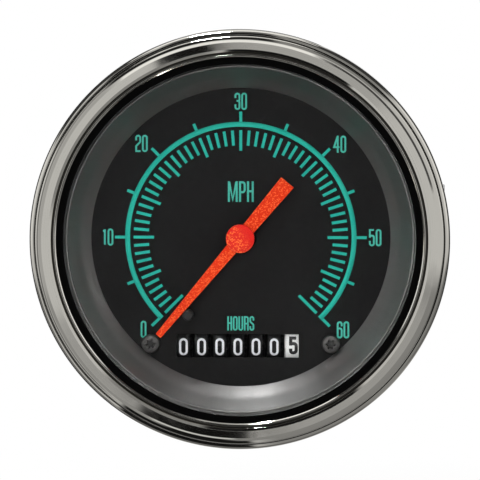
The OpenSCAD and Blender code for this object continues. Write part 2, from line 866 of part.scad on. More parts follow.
module chassis_screws() {
    color("silver") stand() {
        for (place = rear_screws) translate([place.x, place.y, chassis_back])
            mirror([0, 0, 1]) socket_screw(place.z);
        round_pillars() translate([0, 0, chassis_front]) socket_screw(chassis_t + pillar_thread);
    }
}

module counter_frame() {
    outside = frame_left - frame_t;
    color("silver") stand() difference() {
        union() {
            translate([outside, frame_low, chassis_front])
                cube([frame_w, frame_high - frame_low, frame_base_front - chassis_front]);
            for (x = [outside, frame_right]) translate([x, frame_low, chassis_front])
                cube([frame_t, frame_high - frame_low, frame_front - chassis_front]);
            translate([tab_x - frame_t, motor_y - motor_r, chassis_front])
                cube([frame_t, 2 * motor_r, tab_front - chassis_front]);
            across(drum_right + gear_side_gap, idler_y, idler_z)
                cylinder(r = idler_shaft_r, h = frame_right - drum_right);
        }
        across(outside - past, drum_y, drum_z) cylinder(r = drum_shaft_r, h = frame_w + 2 * past);
        across(outside - past, pinion_y, pinion_z) cylinder(r = pinion_shaft_r, h = frame_w + 2 * past);
        across(tab_x - frame_t - past, motor_y, motor_z) cylinder(r = nose_r, h = frame_t + 2 * past);
        both_sides(frame_screw_x, frame_screw_y) hole(screw_r, chassis_front, frame_base_front);
    }
}

module drum_shaft() {
    color("silver") stand() across(frame_left - frame_t, drum_y, drum_z)
        cylinder(r = drum_shaft_r, h = frame_w);
}

module pinion_shaft() {
    color("silver") stand() across(frame_left - frame_t, pinion_y, pinion_z)
        cylinder(r = pinion_shaft_r, h = frame_w);
}

// Number drum at a place counted from the left, with the teeth on its right side
module number_drum(place, side_teeth, side_m, side_w, way, colour) {
    disc_w = place == 0 ? 0 : transfer_w;
    hub_end = drum_pitch - transfer_w - hub_play;
    color(colour) stand() across(drum_left + place * drum_pitch, drum_y, drum_z) difference() {
        union() {
            difference() {
                post(drum_r, 0, drum_w);
                ring(drum_r - drum_rim, drum_hub_r, drum_web, drum_w - drum_web);
            }
            if (disc_w > 0) post(transfer_r, -disc_w, 0);
            translate([0, 0, drum_w]) rotate(way) linear_extrude(side_w)
                polygon(gear_outline(side_m, side_teeth));
            post(drum_hub_r, drum_w, hub_end);
        }
        hole(drum_shaft_r + run_gap, -disc_w, max(hub_end, drum_w + side_w));
    }
}

// Drum whose teeth drive the transfer pinion on its right
module whole_drum(place) {
    number_drum(place, drum_teeth, transfer_m, drum_gear_w, pinion_way, [0.1, 0.1, 0.1]);
}

module drum_hundred_thousands() {
    whole_drum(0);
}

module drum_ten_thousands() {
    whole_drum(1);
}

module drum_thousands() {
    whole_drum(2);
}

module drum_hundreds() {
    whole_drum(3);
}

module drum_tens() {
    whole_drum(4);
}

module drum_ones() {
    whole_drum(5);
}

module drum_tenths() {
    number_drum(6, drive_teeth, drive_m, drive_gear_w, idler_angle, [0.92, 0.92, 0.9]);
}

// Small gear on a shaft square to X, with a bore
module cross_gear(x, y, z, m, n, w, bore, turn) {
    across(x, y, z) difference() {
        rotate(turn) linear_extrude(w) polygon(gear_outline(m, n));
        hole(bore, 0, w);
    }
}

// Transfer pinion in the space to the right of a drum
module transfer_pinion(place) {
    x = drum_left + place * drum_pitch + drum_w + pinion_side_gap;
    turn = mesh_turn(drum_teeth, pinion_way, pinion_teeth, pinion_way);
    color("ivory") stand() cross_gear(x, pinion_y, pinion_z, transfer_m, pinion_teeth,
        pinion_w, pinion_shaft_r + run_gap, turn);
}

module transfer_pinion_1() {
    transfer_pinion(0);
}

module transfer_pinion_2() {
    transfer_pinion(1);
}

module transfer_pinion_3() {
    transfer_pinion(2);
}

module transfer_pinion_4() {
    transfer_pinion(3);
}

module transfer_pinion_5() {
    transfer_pinion(4);
}

module transfer_pinion_6() {
    transfer_pinion(5);
}

module idler_gear() {
    color("ivory") stand() cross_gear(drive_x, idler_y, idler_z, drive_m, idler_teeth,
        drive_w, idler_shaft_r + run_gap, idler_turn);
}

module counter_motor() {
    color("lightgray") stand() difference() {
        union() {
            across(motor_back, motor_y, motor_z) post(motor_r, 0, motor_l);
            across(motor_back, motor_y, motor_z) post(nose_r, motor_l, motor_l + frame_t);
        }
        across(motor_back, motor_y, motor_z)
            post(motor_shaft_r + run_gap, motor_end, motor_l + frame_t + past);
    }
}

module motor_pinion() {
    shaft_x = motor_back + motor_end + end_play;
    color("goldenrod") stand() {
        across(drive_x, motor_y, motor_z) rotate(motor_turn) linear_extrude(drive_w)
            polygon(gear_outline(drive_m, motor_teeth));
        across(shaft_x, motor_y, motor_z) cylinder(r = motor_shaft_r, h = drive_x - shaft_x);
    }
}

module chassis_plate() {
    color("silver") stand() difference() {
        post(stack_r, chassis_back, chassis_front);
        both_sides(bulb_x, bulb_y) hole(bulb_r + bulb_hole_gap, chassis_back, chassis_front);
        for (place = rear_screws) translate([place.x, place.y, 0])
            hole(screw_hole_r, chassis_back, chassis_front);
        round_pillars() hole(screw_hole_r, chassis_back, chassis_front);
        translate([0, wire_slot_y, chassis_back - past]) linear_extrude(chassis_t + 2 * past)
            polygon(round_box(wire_slot_w, wire_slot_h, wire_slot_h / 4));
    }
}

module dial_standoffs() {
    color("goldenrod") stand() both_sides(dial_screw_x, dial_screw_y) difference() {
        post(standoff_d / 2, chassis_front, dial_back);
        post(screw_r, dial_back - screw_depth, dial_back + past);
        post(screw_r, chassis_front - past, chassis_front + screw_depth);
    }
}

module circuit_board() {
    color("darkgreen") stand() difference() {
        post(board_r, board_back, board_front);
        both_sides(bulb_x, bulb_y) hole(holder_r + bulb_hole_gap, board_back, board_front);
        round_pillars() hole(spigot_r, board_back, board_front);
        blade_places() slot(blade_w, blade_t, board_back, board_front);
    }
}

module board_chips() {
    color([0.15, 0.15, 0.16]) stand() both_sides(chip_x, chip_y)
        block(chip_w, chip_h, board_back - chip_t, board_back);
}

module board_capacitors() {
    color("navy") stand() for (side = [-1, 1])
        translate([side * capacitor_step / 2 - capacitor_x, capacitor_y, 0])
            post(capacitor_r, capacitor_back, board_back);
}

module trimmer_body() {
    color("royalblue") stand() translate([0, trimmer_y, 0]) difference() {
        block(trimmer_w, trimmer_w, trimmer_top, board_back);
        post(trimmer_rotor_r + run_gap, trimmer_top - past, trimmer_top + trimmer_rotor_h);
    }
}

module trimmer_rotor() {
    top = trimmer_top - trimmer_rotor_out;
    color("white") stand() translate([0, trimmer_y, 0]) difference() {
        post(trimmer_rotor_r, top, trimmer_top + trimmer_rotor_h - 2 * run_gap);
        block(2 * trimmer_rotor_r + past, trimmer_slot_w, top - past, top + trimmer_slot_h);
    }
}

module support_pillars() {
    color("goldenrod") stand() round_pillars() {
        difference() {
            union() {
                post(pillar_r, board_front, chassis_back, $fn = 6);
                post(spigot_r, spigot_back, board_front);
            }
            post(screw_r, chassis_back - pillar_hole_l, chassis_back + past);
        }
        difference() {
            post(pillar_r, case_floor, board_back, $fn = 6);
            post(spigot_r + screw_gap, spigot_back - screw_end_gap, board_back + past);
            post(screw_r, case_floor - past, case_floor + pillar_hole_l);
        }
    }
}

module case_screws() {
    color("silver") stand() round_pillars() translate([0, 0, case_back]) mirror([0, 0, 1])
        socket_screw(case_wall + pillar_thread);
}

module bulb_holders() {
    color([0.16, 0.16, 0.17]) stand() both_sides(bulb_x, bulb_y) difference() {
        union() {
            post(holder_r, case_back, holder_front);
            post(holder_flange_r, case_back - holder_flange_t, case_back);
            translate([0, 0, case_back - 2 * holder_flange_t]) linear_extrude(holder_flange_t)
                polygon(round_box(2 * holder_r, holder_grip_w, holder_grip_w * 0.4));
        }
        post(bulb_r, bulb_back, holder_front + past);
    }
}

module bulbs() {
    color("lightyellow", 0.6) stand() both_sides(bulb_x, bulb_y) rotate_extrude() polygon(concat(
        [[0, bulb_back], [bulb_r, bulb_back]],
        arc(0, bulb_front - bulb_r, bulb_r, 0, 90, 8)
    ));
}

module blade_places() {
    for (i = [0:blade_count - 1])
        translate([(i - (blade_count - 1) / 2) * blade_pitch, block_y, 0]) children();
}

module terminal_block() {
    color([0.12, 0.12, 0.13]) stand() difference() {
        translate([0, block_y, 0]) {
            block(block_w, block_h, case_back, case_floor + block_in);
            translate([0, 0, case_back - block_flange_t]) linear_extrude(block_flange_t)
                polygon(round_box(block_w + 2 * block_flange, block_h + 2 * block_flange, block_flange));
        }
        blade_places() slot(blade_w, blade_t, case_back - block_flange_t, case_floor + block_in);
    }
}

module blade_terminals() {
    half = blade_w / 2;
    front = board_front + blade_tail;
    color("goldenrod") stand() blade_places() difference() {
        translate([0, blade_t / 2, 0]) rotate([90, 0, 0]) linear_extrude(blade_t) polygon([
            [-half, front], [-half, blade_back + blade_nick], [blade_nick - half, blade_back],
            [half - blade_nick, blade_back], [half, blade_back + blade_nick], [half, front]
        ]);
        translate([0, 0, blade_back + blade_hole_in]) rotate([90, 0, 0])
            cylinder(r = blade_hole_r, h = 2 * blade_t, center = true);
    }
}

module studs() {
    color("silver") stand() both_sides(stud_x, 0) {
        post(stud_r, case_back - stud_l, case_floor);
        post(stud_head_r, case_floor, case_floor + stud_head_t);
    }
}

// Flanged hexagon nut on a stud, its flange forwards at level z
module stud_nut(bore_r, z) {
    difference() {
        union() {
            post(nut_r, z - nut_h, z, $fn = 6);
            post(nut_flange_r, z - nut_flange_t, z);
        }
        hole(bore_r, z - nut_h, z);
    }
}

module stud_nuts() {
    color("silver") stand() both_sides(stud_x, 0) stud_nut(stud_r, case_back);
}

module clamp_bracket() {
    outer = strap_bend + strap_t;
    color("gainsboro") stand() difference() {
        translate([0, strap_w / 2, 0]) rotate([90, 0, 0]) linear_extrude(strap_w) polygon(concat(
            [[leg_in, -grip], [leg_out, -grip]],
            arc(leg_out - outer, bridge_back + outer, outer, 0, -90),
            arc(-leg_out + outer, bridge_back + outer, outer, -90, -180),
            [[-leg_out, -grip], [-leg_in, -grip]],
            arc(-leg_in + strap_bend, bridge_front + strap_bend, strap_bend, 180, 270),
            arc(leg_in - strap_bend, bridge_front + strap_bend, strap_bend, -90, 0)
        ));
        both_sides(stud_x, 0) hole(stud_r + 2 * screw_gap, bridge_back, bridge_front);
    }
}

module clamp_nuts() {
    color("silver") stand() both_sides(stud_x, 0) stud_nut(stud_r + run_gap, bridge_back);
}

bezel();
front_seal();
lens();
rear_seal();
reveal_ring();
gauge_case();
dial_plate();
dial_scale();
dial_screws();
stop_pin();
light_housing();
pointer();
pointer_hub();
spindle();
magnet_rotor();
spindle_bearings();
bobbin_front();
bobbin_rear();
inner_coils();
outer_coils();
shield_cup();
return_magnet();
chassis_screws();
counter_frame();
drum_shaft();
pinion_shaft();
drum_hundred_thousands();
drum_ten_thousands();
drum_thousands();
drum_hundreds();
drum_tens();
drum_ones();
drum_tenths();
transfer_pinion_1();
transfer_pinion_2();
transfer_pinion_3();
transfer_pinion_4();
transfer_pinion_5();
transfer_pinion_6();
counter_motor();
motor_pinion();
idler_gear();
chassis_plate();
dial_standoffs();
circuit_board();
board_chips();
board_capacitors();
trimmer_body();
trimmer_rotor();
support_pillars();
case_screws();
bulb_holders();
bulbs();
terminal_block();
blade_terminals();
studs();
stud_nuts();
clamp_bracket();
clamp_nuts();
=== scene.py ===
"""Dashboard speedometer with an hour counter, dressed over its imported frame.

Sizes in the classes are millimetres in the gauge's own frame: x across the dial, y up it and
z out towards the viewer, with z = 0 on the face that seats on the panel. Meshes are made in
that frame in metres and then stood on edge, so that the dial faces -Y.
"""

from __future__ import annotations

import json
import logging
import math
from contextlib import contextmanager
from dataclasses import dataclass
from enum import Enum
from functools import partial, reduce
from typing import Callable, Iterator, Sequence, Union

import bmesh
import bpy
from mathutils import Matrix, Vector
from mathutils.geometry import delaunay_2d_cdt

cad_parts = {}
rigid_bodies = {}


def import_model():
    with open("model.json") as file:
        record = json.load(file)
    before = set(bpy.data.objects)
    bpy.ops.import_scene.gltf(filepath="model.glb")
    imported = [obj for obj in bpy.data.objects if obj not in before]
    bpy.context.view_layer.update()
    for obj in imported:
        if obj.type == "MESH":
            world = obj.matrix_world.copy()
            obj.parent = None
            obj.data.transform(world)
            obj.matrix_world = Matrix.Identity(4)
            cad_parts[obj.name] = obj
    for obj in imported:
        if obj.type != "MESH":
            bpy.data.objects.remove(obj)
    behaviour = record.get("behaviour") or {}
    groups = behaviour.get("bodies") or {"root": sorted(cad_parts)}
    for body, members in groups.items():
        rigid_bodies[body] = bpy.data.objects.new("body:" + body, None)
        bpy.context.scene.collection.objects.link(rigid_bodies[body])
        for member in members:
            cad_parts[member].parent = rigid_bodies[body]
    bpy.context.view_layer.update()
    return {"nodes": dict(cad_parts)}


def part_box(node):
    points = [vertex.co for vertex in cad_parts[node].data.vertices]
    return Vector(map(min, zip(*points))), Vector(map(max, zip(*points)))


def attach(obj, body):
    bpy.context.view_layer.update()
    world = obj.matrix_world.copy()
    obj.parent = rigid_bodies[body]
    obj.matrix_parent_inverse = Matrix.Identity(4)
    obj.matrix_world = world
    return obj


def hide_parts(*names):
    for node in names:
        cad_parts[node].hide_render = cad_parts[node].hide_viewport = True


LOG = logging.getLogger("speedometer")
MM = 0.001
STAND = Matrix.Rotation(math.radians(90), 4, "X")
GAUGE = "gauge"

Colour = tuple[float, float, float]
Point = tuple[float, float]
Place = tuple[float, float, float]
Flat = tuple[list[Point], list[list[int]]]
Section = Sequence[tuple[float, ...]]
Object = bpy.types.Object
Socket = bpy.types.NodeSocket
Fed = Union[Socket, float, int, bool, Sequence[float]]
Angular = Union[float, Callable[[float], float]]


# Wiring of node trees


class Wiring:
    """Adds nodes to one shader or geometry tree and joins them."""

    def __init__(self, tree: bpy.types.NodeTree) -> None:
        """Takes the node tree that gets the nodes."""
        self.tree = tree

    def feed(self, socket: Socket, value: Fed) -> None:
        """Sets a socket to a value, or joins it to another node's output.

        Args:
            socket: the input to feed.
            value: a plain value, or an output socket.
        """
        if isinstance(value, bpy.types.NodeSocket):
            self.tree.links.new(value, socket)
        elif socket.type == "RGBA" and len(value) == 3:
            socket.default_value = (*value, 1.0)
        else:
            socket.default_value = value

    def add(self, kind: str, feeds: dict | None = None, **settings: object) -> bpy.types.Node:
        """Adds one node.

        Args:
            kind: Blender's name for the kind of node.
            feeds: what goes into its inputs, by name or place.
            settings: the node's own settings.

        Returns:
            The new node.
        """
        node = self.tree.nodes.new(kind)
        for key, value in settings.items():
            setattr(node, key, value)
        for key, value in (feeds or {}).items():
            self.feed(node.inputs[key], value)
        return node

    def put(self, kind: str, feeds: dict | None = None, **settings: object) -> Socket:
        """Adds one node as add does, and returns its first output."""
        return self.add(kind, feeds, **settings).outputs[0]

    def maths(self, operation: str, *values: Fed) -> Socket:
        """Adds a Math node and returns its output."""
        return self.put("ShaderNodeMath", dict(enumerate(values)), operation=operation)

    def times(self, *values: Fed) -> Socket:
        """Multiplies numbers and returns the result."""
        return reduce(partial(self.maths, "MULTIPLY"), values)

    def plus(self, *values: Fed) -> Socket:
        """Adds numbers and returns the sum."""
        return reduce(partial(self.maths, "ADD"), values)

    def minus(self, first: Fed, second: Fed) -> Socket:
        """Takes one number from another and returns what is left."""
        return self.maths("SUBTRACT", first, second)

    def reach(self, x: Fed, y: Fed) -> Socket:
        """Returns how far a point lies from an axis, by its two numbers across it."""
        return self.maths("SQRT", self.plus(self.times(x, x), self.times(y, y)))

    def vector(self, x: Fed = 0.0, y: Fed = 0.0, z: Fed = 0.0) -> Socket:
        """Joins three numbers into a vector and returns it."""
        return self.put("ShaderNodeCombineXYZ", {0: x, 1: y, 2: z})

    def parts(self, vector: Fed) -> tuple[Socket, ...]:
        """Splits a vector and returns its three numbers."""
        return tuple(self.add("ShaderNodeSeparateXYZ", {0: vector}).outputs)

    def stretched(self, vector: Fed, factors: Fed) -> Socket:
        """Multiplies a vector by three factors and returns it."""
        return self.put("ShaderNodeVectorMath", {0: vector, 1: factors}, operation="MULTIPLY")

    def ramp(self, value: Fed, low: Fed, high: Fed, to_low: Fed = 0.0, to_high: Fed = 1.0) -> Socket:
        """Maps a range of values onto another, easing in and out.

        Args:
            value: what is mapped.
            low: the value that gives to_low.
            high: the value that gives to_high.
            to_low: the result at and under low.
            to_high: the result at and over high.

        Returns:
            The mapped value.
        """
        feeds = {"Value": value, "From Min": low, "From Max": high, "To Min": to_low, "To Max": to_high}
        return self.put("ShaderNodeMapRange", feeds, interpolation_type="SMOOTHSTEP")

    def blend(self, share: Fed, first: Fed, second: Fed) -> Socket:
        """Mixes two colours by a share from 0 to 1 and returns the result."""
        return self.add("ShaderNodeMix", {0: share, 6: first, 7: second}, data_type="RGBA").outputs[2]

    def noise(self, vector: Fed, scale: Fed, detail: float = 2.0, roughness: float = 0.5) -> Socket:
        """Adds a noise texture and returns its value."""
        feeds = {"Vector": vector, "Scale": scale, "Detail": detail, "Roughness": roughness}
        return self.put("ShaderNodeTexNoise", feeds)


# Effects and finishes

# The width of the soft edge of a ring's mask at its level, in metres
LEVEL_BLUR = 8e-5
# The scales of the smears on coats and on metal
COAT_SMEARS = 120.0
METAL_SMEARS = 110.0
# How much of a coat's grain shows as roughness
GRAIN_ROUGHNESS = 0.06
# How dark the painted shade in a groove or recess is, in a coat and in metal, and the colour of that painted
# shade
COAT_PAINTED_SHADE, COAT_PAINTED_SHADE_COLOUR = 0.9, (0.004, 0.004, 0.004)
METAL_PAINTED_SHADE, METAL_PAINTED_SHADE_COLOUR = 0.92, (0.035, 0.032, 0.028)
# Where the granules begin and are full across the piece, in millimetres, making painted light on the granular
# side and painted shade on the plain side
PAINTED_LIGHT_RAMP = (-2.2, 0.6)
# Scale, detail and roughness of the lines that run out from the axis
RAY_LINES = (150.0, 2.0, 0.6)


@dataclass(frozen=True)
class Effect:
    """A shader node group that several finishes share, built at its first use."""

    name: str
    inputs: dict[str, Fed]
    outputs: tuple[str, ...]
    wire: Callable[..., tuple[Socket, ...]]

    def tree(self) -> bpy.types.NodeTree:
        """Finds the group, or builds it if there is none yet.

        Returns:
            The node group, with an input "where" for the place before its own.
        """
        tree = bpy.data.node_groups.get(self.name)
        if tree:
            return tree
        tree = bpy.data.node_groups.new(self.name, "ShaderNodeTree")
        tree.interface.new_socket("where", in_out="INPUT", socket_type="NodeSocketVector")
        for label, default in self.inputs.items():
            kind = "NodeSocketVector" if isinstance(default, tuple) else "NodeSocketFloat"
            tree.interface.new_socket(label, in_out="INPUT", socket_type=kind).default_value = default
        for label in self.outputs:
            tree.interface.new_socket(label, in_out="OUTPUT", socket_type="NodeSocketFloat")
        w = Wiring(tree)
        entry, leave = w.add("NodeGroupInput"), w.add("NodeGroupOutput")
        made = self.wire(w, *(entry.outputs[label] for label in ("where", *self.inputs)))
        for label, value in zip(self.outputs, made):
            w.feed(leave.inputs[label], value)
        return tree

    def place(self, w: Wiring, where: Socket, **feeds: Fed) -> dict[str, Socket]:
        """Puts the group into a material.

        Args:
            w: the material's wiring.
            where: the object coordinates.
            feeds: what goes into its own inputs.

        Returns:
            Its outputs by name.
        """
        node = w.add("ShaderNodeGroup", node_tree=self.tree())
        for label, value in {"where": where, **feeds}.items():
            w.feed(node.inputs[label], value)
        return {out.name: out for out in node.outputs}


def effect(outputs: Sequence[str], **inputs: Fed) -> Callable[[Callable], Effect]:
    """Returns what turns a wiring function into an effect with these outputs and inputs."""
    return lambda wire: Effect(wire.__name__, inputs, tuple(outputs), wire)


@effect(["Height", "Tone"], scale=4000.0)
def fine_grain(w: Wiring, where: Socket, scale: Socket) -> tuple[Socket, ...]:
    """Wires a fine even grain with a broader drift of tone.

    Args:
        w: the group's wiring.
        where: the place.
        scale: the grain's scale.

    Returns:
        Its height and tone.
    """
    fine = w.noise(where, scale, 3.0, 0.6)
    broad = w.noise(where, w.times(scale, 0.06), 2.0)
    return fine, w.ramp(w.plus(w.times(fine, 0.65), w.times(broad, 0.35)), 0.36, 0.64)


@effect(["Mask", "Height"], scale=3000.0)
def granules(w: Wiring, where: Socket, scale: Socket) -> tuple[Socket, ...]:
    """Wires small round granules of uneven size.

    Args:
        w: the group's wiring.
        where: the place.
        scale: their scale.

    Returns:
        Their mask and height.
    """
    cells = w.add("ShaderNodeTexVoronoi", {"Vector": where, "Scale": scale})
    size = w.parts(cells.outputs["Color"])[0]
    edge = w.ramp(size, 0.0, 1.0, 0.2, 0.75)
    mask = w.ramp(cells.outputs["Distance"], w.times(edge, 0.5), edge, 1.0, 0.0)
    return mask, w.times(mask, size)


@effect(["Height", "Shade"], scale=9000.0)
def turned_lines(w: Wiring, where: Socket, scale: Socket) -> tuple[Socket, ...]:
    """Wires the fine lines that a lathe leaves round the dial's axis.

    Args:
        w: the group's wiring.
        where: the place.
        scale: their scale.

    Returns:
        Their height and shade.
    """
    x, y, z = w.parts(where)
    lines = w.noise(w.vector(w.reach(x, z), y, 0.0), scale, 2.0)
    return lines, w.ramp(lines, 0.3, 0.7)


@effect(["Height", "Shade"], along=(1.0, 1.0, 1.0), scale=5000.0)
def drawn_streaks(w: Wiring, where: Socket, along: Socket, scale: Socket) -> tuple[Socket, ...]:
    """Wires long scratches that all run one way, and returns their height and shade."""
    lines = w.noise(w.stretched(where, along), scale, 3.0, 0.65)
    return lines, w.ramp(lines, 0.35, 0.65)


@effect(["Mask"], scale=90.0)
def handling_smears(w: Wiring, where: Socket, scale: Socket) -> tuple[Socket, ...]:
    """Wires soft patches where a surface has been handled, and returns their mask."""
    return (w.ramp(w.noise(where, scale, 4.0, 0.62), 0.42, 0.68),)


@effect(["Mask"], radius=0.04, half=0.0003, level=0.0, side=1.0)
def ring_mask(w: Wiring, where: Socket, radius: Socket, half: Socket, level: Socket,
              side: Socket) -> tuple[Socket, ...]:
    """Wires a mask of a narrow ring round the dial's axis, on one side of a level.

    Args:
        w: the group's wiring.
        where: the place.
        radius: the ring's middle radius.
        half: half its width.
        level: the level.
        side: 1 for the front of the level, or -1 for its back.

    Returns:
        The mask.
    """
    x, y, z = w.parts(where)
    off = w.maths("ABSOLUTE", w.minus(w.reach(x, z), radius))
    inside = w.ramp(off, w.times(half, 0.6), half, 1.0, 0.0)
    past = w.times(w.plus(y, level), side)
    return (w.times(inside, w.ramp(past, -LEVEL_BLUR, LEVEL_BLUR, 1.0, 0.0)),)


@effect(["Shade"], scale=500.0)
def zinc_crystals(w: Wiring, where: Socket, scale: Socket) -> tuple[Socket, ...]:
    """Wires the flat crystals of a zinc coat.

    Args:
        w: the group's wiring.
        where: the place.
        scale: their scale.

    Returns:
        Their shade.
    """
    waves = w.add("ShaderNodeTexNoise", {"Vector": where, "Scale": 500.0}).outputs[1]
    wavy = w.put("ShaderNodeVectorMath", {
        0: where, 1: w.stretched(waves, (0.002, 0.002, 0.002))}, operation="ADD")
    cells = w.add("ShaderNodeTexVoronoi", {"Vector": wavy, "Scale": scale})
    return (w.parts(cells.outputs["Color"])[1],)


class Lay(Enum):
    """How the marks of a finish run over its piece."""

    NONE = "none"
    TURNED = "turned"
    ACROSS = "across"
    UPRIGHT = "upright"
    DEEP = "deep"


STRETCH: dict[Lay, Place] = {
    Lay.ACROSS: (0.03, 1.0, 1.0),
    Lay.UPRIGHT: (1.0, 1.0, 0.03),
    Lay.DEEP: (1.0, 0.03, 1.0),
}


class Finish:
    """Something that a piece is dressed in. Each finish makes its material once."""

    made: dict[str, bpy.types.Material] = {}

    def material(self) -> bpy.types.Material:
        """Makes the finish's material at its first use.

        Returns:
            The material.
        """
        if self.name not in Finish.made:
            made = bpy.data.materials.new(self.name)
            made.use_nodes = True
            made.node_tree.nodes.clear()
            w = Wiring(made.node_tree)
            shader = self.wire(w, w.add("ShaderNodeTexCoord").outputs["Object"])
            w.add("ShaderNodeOutputMaterial", {"Surface": shader})
            Finish.made[self.name] = made
        return Finish.made[self.name]

    def bump(self, w: Wiring, height: Fed, depth: float) -> Socket:
        """Returns the normal for a height from 0 to 1, where 1 stands for a depth in millimetres."""
        return w.put("ShaderNodeBump", {"Height": height, "Distance": depth * MM, "Strength": 1.0})

    def circled(self, w: Wiring, where: Socket, circles: Sequence[Place], side: float) -> Socket:
        """Masks narrow rings round the dial's axis.

        Args:
            w: the material's wiring.
            where: the object coordinates.
            circles: each ring's middle radius, half width and level, in millimetres.
            side: 1 for a mask in front of the level, or -1 for one behind it.

        Returns:
            The mask of all the rings.
        """
        mask: Fed = 0.0
        for middle, half, level in circles:
            ring = ring_mask.place(w, where, radius=middle * MM, half=half * MM, level=level * MM, side=side)
            mask = w.maths("MAXIMUM", mask, ring["Mask"])
        return mask


@dataclass(frozen=True)
class Coated(Finish):
    """Paint, ink, rubber or moulded plastic, with a grain and a drift of tone."""

    name: str
    colour: Colour
    tone: Colour
    grain: float = 0.25
    relief: float = 0.01
    gloss: float = 0.45
    smeared: float = 0.08
    granules: float = 0.0
    granule_colour: Colour = (1.0, 1.0, 1.0)
    granule_share: float = 0.6
    sheen: float = 0.5
    density: float = 1.5
    worn: tuple[Place, ...] = ()
    bare: Colour = (0.4, 0.4, 0.4)
    # Painted shade: rings round the dial's axis darkened behind a level, each as middle radius, half width
    # and level in millimetres
    grooves: tuple[Place, ...] = ()
    rays: float = 0.0
    # Painted light and shade: the way across the piece towards which the granules fade in, and how widely the
    # fade spreads
    sprayed: Point = (0.0, 0.0)
    brushed: float = 1.0

    def wire(self, w: Wiring, where: Socket) -> Socket:
        """Wires the finish.

        Args:
            w: the material's wiring.
            where: the object coordinates.

        Returns:
            The shader's output.
        """
        grain = fine_grain.place(w, where, scale=1 / (self.grain * MM))
        smear = handling_smears.place(w, where, scale=COAT_SMEARS)
        colour = w.blend(grain["Tone"], self.colour, self.tone)
        height = grain["Height"]
        if self.granules:
            spots = granules.place(w, where, scale=1 / (self.granules * MM))
            share = w.times(spots["Mask"], self.granule_share)
            # Painted light and shade: the lighter granules fade out across the piece, so one side reads lit
            # and the other shaded
            if any(self.sprayed):
                x, _, z = w.parts(where)
                across = w.plus(w.times(x, self.sprayed[0]), w.times(z, self.sprayed[1]))
                share = w.times(share, w.ramp(across, *(edge * self.brushed * MM for edge in PAINTED_LIGHT_RAMP)))
            colour = w.blend(share, colour, self.granule_colour)
            height = w.plus(height, spots["Height"])
        rough = w.ramp(smear["Mask"], 0.0, 1.0, self.gloss, self.gloss + self.smeared)
        rough = w.plus(rough, w.times(grain["Height"], GRAIN_ROUGHNESS))
        feeds = {"Specular IOR Level": self.sheen, "IOR": self.density,
                 "Normal": self.bump(w, height, self.relief)}
        # Painted shade: behind each ring's level the coat is darkened almost to black, as shade in a recess
        if self.grooves:
            dark = w.times(self.circled(w, where, self.grooves, -1.0), COAT_PAINTED_SHADE)
            colour = w.blend(dark, colour, COAT_PAINTED_SHADE_COLOUR)
        if self.rays:
            x, _, z = w.parts(where)
            around = w.put("ShaderNodeVectorMath", {0: w.vector(x, z, 0.0)}, operation="NORMALIZE")
            rough = w.plus(rough, w.ramp(w.noise(around, *RAY_LINES), 0.3, 0.7, -self.rays, self.rays))
        if self.worn:
            rubbed = self.circled(w, where, self.worn, 1.0)
            rubbed = w.times(rubbed, w.ramp(grain["Tone"], 0.0, 1.0, 0.55, 0.85))
            colour = w.blend(rubbed, colour, self.bare)
            feeds["Metallic"] = rubbed
        return w.put("ShaderNodeBsdfPrincipled", {"Base Color": colour, "Roughness": rough, **feeds})


@dataclass(frozen=True)
class Metal(Finish):
    """Bare or plated metal with the marks of how it was made."""

    name: str
    colour: Colour
    shade: Colour
    lay: Lay = Lay.NONE
    line: float = 0.12
    relief: float = 0.002
    gloss: float = 0.25
    smeared: float = 0.12
    crystals: float = 0.0
    # Painted shade: rings round the dial's axis darkened behind a level, each as middle radius, half width
    # and level in millimetres
    grooves: tuple[Place, ...] = ()

    def wire(self, w: Wiring, where: Socket) -> Socket:
        """Wires the finish.

        Args:
            w: the material's wiring.
            where: the object coordinates.

        Returns:
            The shader's output.
        """
        scale = 1 / (self.line * MM)
        if self.lay is Lay.TURNED:
            marks = turned_lines.place(w, where, scale=scale)
        elif self.lay is Lay.NONE:
            grain = fine_grain.place(w, where, scale=scale)
            marks = {"Height": grain["Height"], "Shade": grain["Tone"]}
        else:
            marks = drawn_streaks.place(w, where, along=STRETCH[self.lay], scale=scale)
        smear = handling_smears.place(w, where, scale=METAL_SMEARS)
        shade = w.times(marks["Shade"], 0.5)
        rough = w.ramp(smear["Mask"], 0.0, 1.0, self.gloss, self.gloss + self.smeared)
        if self.crystals:
            flats = zinc_crystals.place(w, where, scale=1 / (self.crystals * MM))["Shade"]
            shade = w.plus(w.times(shade, 0.5), w.times(flats, 0.7))
            rough = w.plus(rough, w.times(flats, 0.05))
        colour = w.blend(shade, self.colour, self.shade)
        # Painted shade: the rings are darkened to a dark brown and made rougher, as shade in the grooves
        if self.grooves:
            dark = w.times(self.circled(w, where, self.grooves, -1.0), METAL_PAINTED_SHADE)
            colour = w.blend(dark, colour, METAL_PAINTED_SHADE_COLOUR)
            rough = w.ramp(dark, 0.0, 1.0, rough, 0.3)
        return w.put("ShaderNodeBsdfPrincipled", {
            "Base Color": colour, "Roughness": rough, "Metallic": 1.0,
            "Normal": self.bump(w, marks["Height"], self.relief)})


